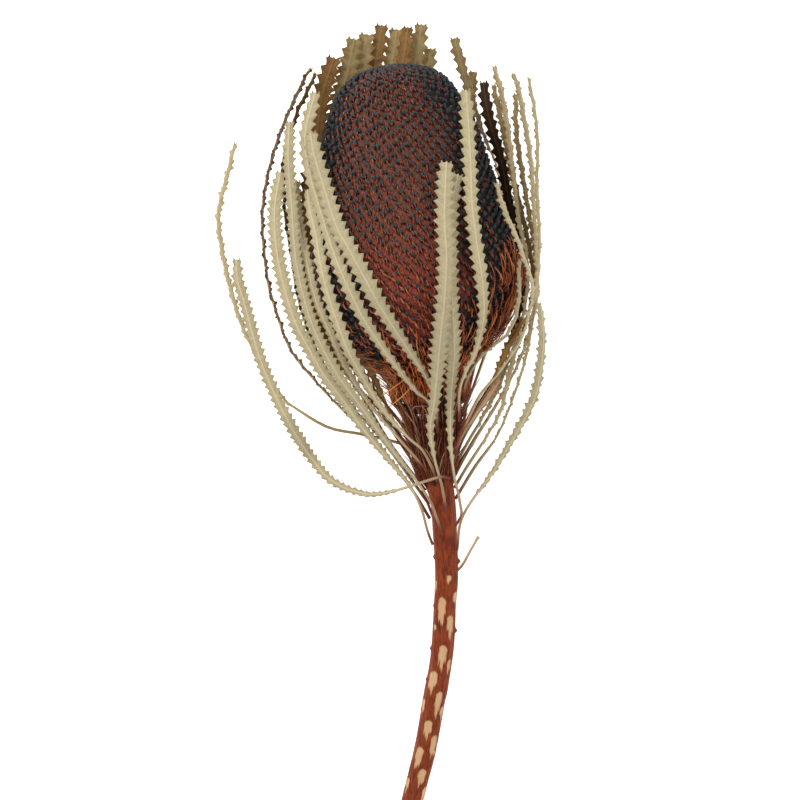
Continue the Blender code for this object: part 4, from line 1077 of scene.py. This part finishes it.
# Leaves that curve over the head and the neck, in the order that they lie over one another
UPPER_LEAVES = (
    Leaf("leaf_low_right_1", 4.4, 16, (60, 60), TAN, (
        (13.4, -65, 31.3), (18.4, -55.8, 34.5), (22, -49.7, 36.5), (25.6, -43.1, 38), (28.8, -37.1, 39),
        (32, -28.4, 40.5))),
    Leaf("leaf_low_right_2", 3.2, 14, (20, 40), PINK, (
        (12.8, -61.6, 33.8), (16.2, -53.6, 37.5), (20, -47.7, 39.5), (24.5, -41.4, 41.5),
        (29.5, -34, 43))),
    Leaf("leaf_low_right_3", 4.8, 18, (62, 60), TAN, (
        (13.7, -72, 29.4), (17.6, -65.5, 32), (21.6, -59.4, 34.5), (25.8, -52.6, 36.5),
        (29.7, -45.4, 38), (31.7, -37.1, 39.5), (33.5, -29.3, 41), (35.5, -22.3, 42),
        (37.8, -16.9, 43))),
    Leaf("leaf_low_right_4", 6.2, 22, (20, 62), PALE, (
        (14.2, -94.5, 28.2), (15.2, -86, 31), (18.4, -79.2, 34), (26.6, -67.7, 38.5), (35.1, -53.3, 42),
        (39.4, -45.5, 43.5), (42.6, -37.1, 44.5), (44.6, -22, 45.5), (44.3, -13, 46), (43.7, -6.5, 46.5))),
    Leaf("leaf_low_right_5", 5.4, 26, (112, 132), BROWN, (
        (13.5, -57.6, 34.2), (19.8, -46.8, 39.5), (22, -43.4, 41), (26.3, -36.5, 43.5),
        (29.5, -28.8, 46), (33.1, -20.9, 48), (35.5, -16.9, 49), (37.9, -11.9, 50))),
    Leaf("leaf_low_right_6", 5.0, 16, (70, 70), PALE, (
        (16.0, -41, 38.3), (17.5, -34, 42), (21.6, -27, 46), (25.9, -22.7, 48), (31.3, -18.4, 49.5),
        (34.9, -11.9, 50), (36.4, -2.9, 50), (36.2, 4, 49.5), (36.7, 8.6, 49))),
    Leaf("leaf_right_9", 5.2, 18, (92, 60), PALE, (
        (15.6, -53, 29.2), (22.3, -39.6, 37), (29.5, -30.6, 42), (36.7, -19.8, 47), (39.6, -10.8, 50),
        (41, -4, 52.5), (40.7, 1.8, 53.5), (38.3, 8.6, 54), (36, 15.5, 54), (33, 22.3, 53.5),
        (30.8, 27.4, 53), (28, 36.4, 52.5))),
    Leaf("leaf_front_left_1", 4.8, 20, (-30, -35), PALE, (
        (2.5, -66, 35.4), (-8, -54, 39.5), (-18, -42, 42.5), (-26.3, -28.8, 44.5), (-31.7, -16.6, 45),
        (-36.4, -5.8, 45), (-39.2, 5.8, 45), (-42.1, 19.8, 45), (-43.6, 32.4, 45), (-43.4, 37.4, 45))),
    Leaf("leaf_front_left_2", 6.6, 22, (-25, -15), PALE, (
        (4.9, -92.5, 28.3), (3.4, -88.5, 29), (1.1, -80.3, 31.5), (-3.1, -72, 34.5), (-11.5, -61.6, 38.5),
        (-20.2, -50.8, 43), (-26.8, -41.4, 46.5), (-34, -31.7, 49), (-40, -21.2, 50), (-44.3, -12.6, 50),
        (-49.5, 5.8, 49), (-51.5, 24.5, 48), (-49.3, 40.7, 47))),
    Leaf("leaf_front_left_3", 5.6, 22, (-10, -22), PALE, (
        (8.6, -88.9, 31), (6.5, -83.2, 31.8), (4.7, -78.5, 32.8), (-0.4, -70.6, 35.5), (-6.1, -63.4, 38.5),
        (-13, -54.2, 42), (-19.8, -44.6, 45), (-29.2, -31.7, 48), (-37.8, -14.4, 48.5), (-43.2, 6.1, 47),
        (-45, 25.2, 45), (-46.4, 45, 43), (-46.1, 58.7, 42))),
    Leaf("leaf_front_left_4", 6.2, 20, (-10, -35), PALE, (
        (6.5, -69.5, 35), (4.9, -65.5, 36.2), (1.4, -59.2, 37.5), (-4, -54.4, 40), (-13.9, -43.2, 44.5),
        (-23.8, -25.9, 49.5), (-27.7, -16.6, 50.5), (-31, -6.8, 51), (-34.2, 4.7, 52.5), (-36.4, 17.6, 52),
        (-38.5, 26.6, 51), (-39.6, 34.2, 50))),
    Leaf("leaf_front_left_5", 6.4, 18, (-5, -30), PALE, (
        (5.2, -56, 40), (4.3, -43.2, 44), (-1.1, -37.8, 48), (-10.4, -25.9, 54.5), (-18, -14.6, 60),
        (-22, -7.2, 62), (-28.8, 7.9, 62.3), (-34.6, 25.9, 57.5), (-38.5, 39.6, 54), (-40.3, 53.3, 52),
        (-36.7, 69.1, 51))),
    Leaf("leaf_front_left_6", 7.8, 18, (0, -22), PALE, (
        (7, -52, 41.4), (6.1, -41.4, 45), (2.5, -32.4, 53), (-5.9, -19.8, 63), (-13.3, -8.3, 68),
        (-16.9, -1.8, 69.5), (-24.3, 11.9, 67.5), (-29.2, 21.1, 63.5), (-34.2, 36.7, 58),
        (-37.1, 46.4, 56), (-38.5, 54.4, 55))),
    Leaf("leaf_front_2", 7.4, 24, (35, 22), PALE, (
        (14.0, -85.9, 29.2), (15.7, -82.8, 29.6), (15.3, -79.6, 30.6), (14.4, -74.5, 32.5),
        (13.3, -70.2, 34.5), (12.0, -61.5, 37.5), (11.5, -50.8, 41.5), (11.8, -38, 49), (12.8, -24, 60),
        (11.9, -5.4, 70.5), (11.5, 9, 72.5), (11.5, 19.8, 71.5), (12.2, 30.6, 69), (14.2, 39.5, 66))),
    Leaf("leaf_front_3", 7.2, 16, (40, 28), PALE, (
        (14.8, -48, 38), (14.9, -38, 43.5), (17.4, -30.5, 49.5), (20.2, -25.2, 54), (22.3, -17.6, 59),
        (23.4, -9.4, 63), (22.7, 1.8, 67), (20.5, 16.6, 67), (19.1, 28.8, 65), (18.7, 40.7, 62),
        (18, 55.4, 59), (17, 69.8, 58))),
    Leaf("leaf_front_1", 8.0, 20, (5, 8), PALE, (
        (10.1, -81, 32.2), (8.6, -72.4, 34.5), (5.8, -61.9, 38.5), (4.4, -51.1, 42.5), (5.9, -41.4, 49),
        (7.9, -19.8, 66), (9.4, -5.4, 72.5), (10.1, 9.4, 74.5), (9.4, 23.4, 73), (9.7, 34.9, 70.5),
        (10.1, 43.9, 67.5))),
    Leaf("leaf_left_4", 5.4, 20, (0, -20), PALE, (
        (10.6, -69.3, 34), (7.7, -69.1, 36), (-0.4, -71.6, 36), (-10.1, -74.5, 32.5), (-19.4, -75.2, 28.5),
        (-31, -70.6, 23.5), (-38.9, -61.6, 20.5), (-46.1, -50, 18), (-52, -38.2, 16.5), (-57.2, -25.2, 15.5),
        (-62.6, -5.8, 14.5), (-64.8, 1.8, 14.5), (-65.2, 9.4, 15))),
)


class Pile:
    """How high the pieces reach over each spot of the surface, so that each leaf lies over those below."""

    cell: float = 0.5
    low: tuple = (-80.0, -100.0)
    cells_each_way: tuple = (280, 420)

    def __init__(self) -> None:
        """Start with nothing on the surface."""
        self.top = np.full(self.cells_each_way, -1000.0)

    def cells(self, points: np.ndarray) -> np.ndarray:
        """The grid cell of each point."""
        spots = np.floor((points[..., :2] - self.low) / self.cell).astype(int)
        return np.clip(spots, 1, np.array(self.cells_each_way) - 2)

    def add(self, points: np.ndarray, reach: float) -> None:
        """Take in a piece.

        Args:
            points: places all over it.
            reach: how far it stands above them.
        """
        cells = self.cells(points)
        np.maximum.at(self.top, (cells[..., 0], cells[..., 1]), points[..., 2] + reach)

    def under(self, points: np.ndarray) -> np.ndarray:
        """The highest thing under each point and beside it."""
        cells = self.cells(points)
        around = [self.top[cells[..., 0] + i, cells[..., 1] + j] for i in (-1, 0, 1) for j in (-1, 0, 1)]
        return np.max(around, axis=0)


@dataclass
class Foliage:
    """The ring of long, narrow, saw-edged leaves."""

    stem: Stem
    head: HeadForm = HeadForm()
    solid_thickness: float = 1.1
    solid_relief: float = 1.1  # of the solid head's florets
    petiole_width: float = 1.3
    bare_share: float = 0.8  # of the petiole, before it starts to widen
    stalk_width: float = 1.0  # of the fine petiole, inside its solid
    widening: float = 46.0  # length over which a petiole widens into the blade
    tip_share: float = 0.62
    pile_gap: float = 0.8
    lift_reach: float = 11.0
    tooth_pitch: float = 3.5
    narrow_pitch: float = 2.6  # on leaves under narrow_width, and on those named next
    narrow_width: float = 5.9
    fine_toothed: tuple = ("leaf_front_left_2", "leaf_low_right_4")
    tooth_depth: float = 0.22  # share of the blade's full width
    blunt: float = 1.3  # how far the notch cuts into the leaf's blunt end
    blade_thick: float = 0.4
    rib_height: float = 0.22
    fold: float = 0.1  # fall of the blade from midrib to margin, by its half width
    ripple: float = 0.16  # height of the blade's waves
    ripple_length: float = 7.4
    curl: float = 0.14  # how far single teeth bend out or in
    root: float = 1.2  # length that a petiole runs into the bark
    seed: int = 3

    def frame_along(self, route: np.ndarray, face: tuple) -> tuple[np.ndarray, np.ndarray]:
        """The direction across the blade, and the direction its outer face looks.

        Args:
            route: places along the leaf.
            face: the angles of the outer face at the base and the tip.

        Returns:
            Both directions, at each place.
        """
        along = unit(np.gradient(route, axis=0))
        lift = unit(UP - along * (along @ UP)[:, None])
        right = np.cross(along, lift)
        angle = np.radians(np.linspace(face[0], face[1], len(route)))[:, None]
        outward = np.cos(angle) * lift + np.sin(angle) * right
        return np.cross(along, outward), outward

    def blade_width(self, leaf: Leaf, run: np.ndarray) -> np.ndarray:
        """The width over the teeth at distances from the base."""
        length = run[-1]
        full = min(leaf.petiole + self.widening, 0.7 * length)
        stations = (0, leaf.petiole * self.bare_share, full, length - 6, length)
        widths = (self.petiole_width, self.petiole_width, leaf.width, leaf.width, leaf.width * self.tip_share)
        return np.interp(run, stations, widths)

    def eased(self, lift: np.ndarray, run: np.ndarray) -> np.ndarray:
        """The lift spread to each side over the leaf's own bend, never less than what is asked."""
        step = run[1] - run[0]
        reach = max(1, round(self.lift_reach / step))
        spread = np.array([lift[max(0, i - reach):i + reach + 1].max() for i in range(len(lift))])
        half = max(1, reach // 2)
        kernel = np.ones(2 * half + 1) / (2 * half + 1)
        for _ in range(2):
            spread = np.convolve(np.pad(spread, half, mode="edge"), kernel, mode="valid")
        return spread

    def laid(self, leaf: Leaf, pile: Pile) -> tuple[np.ndarray, np.ndarray]:
        """Lay a leaf over the pile, which takes it in.

        Args:
            leaf: the leaf.
            pile: what lies under it.

        Returns:
            Places along the leaf, and the run to each.
        """
        route, run = smooth_route(leaf.route)
        half = self.blade_width(leaf, run) / 2
        offsets = np.linspace(-1, 1, 17)[None, :, None]

        def spread(line: np.ndarray) -> np.ndarray:
            """Places over the whole blade."""
            across, _ = self.frame_along(line, leaf.face)
            return line[:, None, :] + across[:, None, :] * half[:, None, None] * offsets

        blade = spread(route)
        needed = pile.under(blade) + self.solid_thickness / 2 + self.pile_gap - blade[..., 2]
        route[:, 2] += self.eased(np.maximum(needed.max(axis=1), 0), run)
        pile.add(spread(route), self.solid_thickness / 2)
        return route, run

    def pile_up_head_and_stem(self, pile: Pile) -> None:
        """Let the pile take in the upper side of the head and the stem."""
        base, tip = np.array(self.head.base), np.array(self.head.tip)
        axis, right, lift = self.head.directions()
        along = np.arange(0, np.linalg.norm(tip - base), 0.4)
        turn = np.arange(0, 2 * pi, 0.01)
        stations, radii = zip(*self.head.profile)
        radius = np.interp(along, stations, radii)[:, None, None] + self.solid_relief / 2
        ring = np.cos(turn)[:, None] * right + np.sin(turn)[:, None] * lift
        pile.add(base + along[:, None, None] * axis + radius * ring, 0)
        stem, _ = smooth_route(self.stem.route, 0.4)
        turn = np.linspace(-pi / 2, pi / 2, 90)
        pile.add(np.stack([
            stem[:, 0, None] + stem[:, 3, None] * np.sin(turn),
            np.broadcast_to(stem[:, 1, None], (len(stem), len(turn))),
            stem[:, 2, None] + stem[:, 3, None] * np.cos(turn),
        ], axis=-1), 0)

    def teeth(self, leaf: Leaf, run: np.ndarray) -> tuple[np.ndarray, np.ndarray, np.ndarray]:
        """The rows of the blade's grid.

        Args:
            leaf: the leaf.
            run: its own run.

        Returns:
            The run of each row, the half width at the foot of the teeth, and out to their edge.
        """
        length = run[-1]
        fine = leaf.width < self.narrow_width or leaf.name in self.fine_toothed
        pitch = self.narrow_pitch if fine else self.tooth_pitch
        count = max(4, round((length - leaf.petiole) / pitch))
        pitch = (length - leaf.petiole) / count
        shares = np.array([0.0, 0.28, 0.52, 0.72, 0.87])
        stands = np.array([0.0, 0.28, 0.64, 1.0, 0.42])
        stalk = np.linspace(-self.root, leaf.petiole, 14)[:-1]
        starts = leaf.petiole + pitch * np.arange(count)
        rows = np.concatenate([stalk, (starts[:, None] + shares * pitch).ravel(), [length]])
        stand = np.concatenate([np.zeros(len(stalk)), np.tile(stands, count), [0.5]])
        edge = self.blade_width(leaf, run)
        over_teeth = np.interp(rows, run, edge) / 2
        foot = np.maximum(self.stalk_width / 2, over_teeth * (1 - 2 * self.tooth_depth))
        over_teeth = np.where(rows < leaf.petiole * self.bare_share, foot, over_teeth)
        return rows, foot, foot + (over_teeth - foot) * stand

    def blade(self, leaf: Leaf, route: np.ndarray, run: np.ndarray, finishes: dict, tint: float) -> None:
        """A thin blade with a raised midrib, side veins and sharp teeth, pale outside and bare inside.

        Args:
            leaf: the leaf.
            route: places along it.
            run: the run to each.
            finishes: the materials by face.
            tint: how light this leaf is, from 0 to 1.
        """
        rng = np.random.default_rng(self.seed + sum(map(ord, leaf.name)))
        across, outward = self.frame_along(route, leaf.face)
        rows, foot, edge = self.teeth(leaf, run)
        start = unit(route[1] - route[0])
        middle = np.column_stack([np.interp(rows, run, column) for column in route.T])
        middle += np.minimum(rows, 0)[:, None] * start
        middle[:, 2] -= 0.5 * smoothstep(2.5, 0, rows)
        sideways = unit(np.column_stack([np.interp(rows, run, column) for column in across.T]))
        out = unit(np.column_stack([np.interp(rows, run, column) for column in outward.T]))
        shrink = np.minimum(1, foot / 1.2)[:, None]
        # Columns from the midrib outwards: distance from it, then how far the outer face is raised there
        near = np.array([0.0, 0.24, 0.42])
        inner = np.column_stack([
            near * shrink, foot[:, None] * 0.62, foot, edge])
        inner = np.maximum.accumulate(inner, axis=1)
        thick = self.blade_thick * np.array([0.5, 0.5, 0.5, 0.44, 0.38, 0.24])
        rib = self.rib_height * np.array([1.0, 0.75, 0.05, 0, 0, 0])
        stem_like = 1 - smoothstep(leaf.petiole * self.bare_share, leaf.petiole + 8, rows)
        span = np.maximum(foot, 0.5)[:, None]
        fall = self.fold * inner * (inner / span) ** 0.5
        wave = np.sin(rows * 2 * pi / self.ripple_length + rng.uniform(0, 6))[:, None]
        ripple = self.ripple * wave * (inner / span) ** 2
        curl = rng.normal(0, self.curl, inner.shape[0])[:, None] * np.array([0, 0, 0, 0, 0, 1])
        level = (0.12 - fall) * (1 - stem_like[:, None]) + (ripple + curl) * (edge > foot + 0.05)[:, None]
        round_stalk = 0.42 * np.sqrt(np.maximum(0, 1 - (inner / inner[:, -1:]) ** 2))
        body = thick * (1 - stem_like[:, None]) + (0.08 + round_stalk) * stem_like[:, None]
        upper = level + body + rib * (1 - 0.6 * stem_like[:, None])
        lower = level - body - 0.35 * rib
        sides = np.concatenate([-inner[:, :0:-1], inner], axis=1)
        raise_out = np.concatenate([upper[:, :0:-1], upper], axis=1)
        raise_in = np.concatenate([lower[:, :0:-1], lower], axis=1)

        # The blunt end runs to two horns with a small point between them
        pull = np.zeros(sides.shape)
        share = abs(sides[-1]) / max(inner[-1, -1], 0.1)
        pull[-1] = self.blunt * (0.45 * share**3 - np.exp(-(((share - 0.42) / 0.22) ** 2)) * 0.9)
        end_way = unit(route[-1] - route[-3])

        def sheet(rise: np.ndarray) -> np.ndarray:
            """The places of one face."""
            flat = middle[:, None] + sideways[:, None] * sides[..., None] + end_way * pull[..., None]
            return flat + out[:, None] * rise[..., None]

        points = np.concatenate([sheet(raise_out).reshape(-1, 3), sheet(raise_in).reshape(-1, 3)])
        height, width = sides.shape
        top = np.arange(height * width).reshape(height, width)
        under = top + top.size
        faces_out = np.stack([top[:-1, :-1], top[:-1, 1:], top[1:, 1:], top[1:, :-1]], -1).reshape(-1, 4)
        faces_in = faces_out[:, [0, 3, 2, 1]] + top.size
        left = np.stack([top[:-1, 0], top[1:, 0], under[1:, 0], under[:-1, 0]], -1)
        right = np.stack([top[:-1, -1], under[:-1, -1], under[1:, -1], top[1:, -1]], -1)
        base = np.stack([top[0, :-1], under[0, :-1], under[0, 1:], top[0, 1:]], -1)
        end = np.stack([top[-1, :-1], top[-1, 1:], under[-1, 1:], under[-1, :-1]], -1)
        rim = np.concatenate([left, right, base, end])
        outer, skin, slot = leaf.tone.value
        distance = np.tile(abs(sides).ravel(), 2)
        of_width = np.tile((abs(sides) / np.maximum(edge, foot)[:, None]).ravel(), 2)
        along = np.tile(np.repeat(rows - leaf.petiole, width), 2)
        rooted = np.tile(np.repeat(smoothstep(6, 1, rows), width), 2)
        piece = make_piece(
            "blade_" + leaf.name.removeprefix("leaf_"), points, (faces_out, faces_in, rim),
            [finishes[outer.name], finishes[skin.name]],
            parts=[np.zeros(len(faces_out)), np.ones(len(faces_in)), np.zeros(len(rim))], sharp=55,
            values={"rib": distance, "across": of_width, "run": along, "root": rooted,
                    "tint": np.full(len(points), tint)})
        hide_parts(leaf.name)

    def build(self) -> None:
        """Lay all the leaves in the order of the solids and make their blades."""
        faces = dict.fromkeys(face for tone in Tone for face in tone.value[:2])
        finishes = {face.name: face.material() for face in faces}
        rng = np.random.default_rng(self.seed)
        pile = Pile()
        laid = [(leaf, *self.laid(leaf, pile)) for leaf in LOWER_LEAVES]
        self.pile_up_head_and_stem(pile)
        laid += [(leaf, *self.laid(leaf, pile)) for leaf in UPPER_LEAVES]
        for leaf, route, run in laid:
            self.blade(leaf, route, run, finishes, rng.uniform(0.2, 0.8))


@dataclass
class Studio:
    """A pale floor, soft studio light and a camera that looks straight down."""

    aim: tuple = (-6.48, -41.4, 36.0)
    distance: float = 5000.0
    frame_width: float = 288.0  # what the square picture shows at the aim
    sensor: float = 36.0
    floor_reach: float = 20.0  # half the floor's side, in metres

    def camera(self) -> None:
        """A long lens far above, so that near and far leaves keep their size."""
        data = bpy.data.cameras.new("camera")
        data.sensor_width = self.sensor
        data.lens = self.sensor * self.distance / self.frame_width
        data.clip_end = 100
        camera = bpy.data.objects.new("camera", data)
        camera.location = Vector(self.aim) * MM + Vector((0, 0, self.distance * MM))
        bpy.context.scene.collection.objects.link(camera)
        bpy.context.scene.camera = camera

    def floor(self) -> None:
        """A matt white sheet, lit a little from below as a light table is."""
        mesh = bpy.data.meshes.new("floor")
        reach = self.floor_reach
        corners = [(-reach, -reach, 0), (reach, -reach, 0), (reach, reach, 0), (-reach, reach, 0)]
        mesh.from_pydata(corners, [], [(0, 1, 2, 3)])
        material, tree = new_material("matt white paper, glowing faintly")
        close_material(tree, {
            "Base Color": linear("F4F4F2"), "Roughness": 0.9, "Specular IOR Level": 0.0,
            "Emission Color": (1, 1, 1, 1), "Emission Strength": 0.75,
        }, {})
        mesh.materials.append(material)
        floor = bpy.data.objects.new("floor", mesh)
        bpy.context.scene.collection.objects.link(floor)

    def light(self, name: str, place: tuple, size: float, power: float) -> None:
        """Add a square soft box that faces the part.

        Args:
            name: the light's name.
            place: where it hangs, in metres.
            size: its side, in metres.
            power: its power, in watts.
        """
        data = bpy.data.lights.new(name, "AREA")
        data.size = size
        data.energy = power
        lamp = bpy.data.objects.new(name, data)
        lamp.location = place
        lamp.rotation_mode = "QUATERNION"
        lamp.rotation_quaternion = (Vector(place) - Vector((0, 0, 0.03))).to_track_quat("Z", "Y")
        bpy.context.scene.collection.objects.link(lamp)

    def build(self) -> None:
        """Build the whole studio."""
        self.camera()
        self.floor()
        self.light("key", (-0.45, 0.55, 0.95), 0.5, 6.6)
        self.light("fill", (0.7, -0.3, 0.9), 0.9, 2.0)
        world = bpy.data.worlds.new("white room")
        bpy.context.scene.world = world
        world.use_nodes = True
        backdrop = world.node_tree.nodes["Background"]
        backdrop.inputs["Color"].default_value = (1, 1, 1, 1)
        backdrop.inputs["Strength"].default_value = 0.5
        bpy.context.scene.view_settings.view_transform = "Standard"


def main() -> None:
    """Build the studio and the part."""
    logging.basicConfig(level=logging.INFO, format="%(name)s: %(message)s")
    Studio().build()
    stem = Stem()
    stem.build()
    FlowerHead().build()
    Foliage(stem=stem).build()


if __name__ == "__main__":
    main()
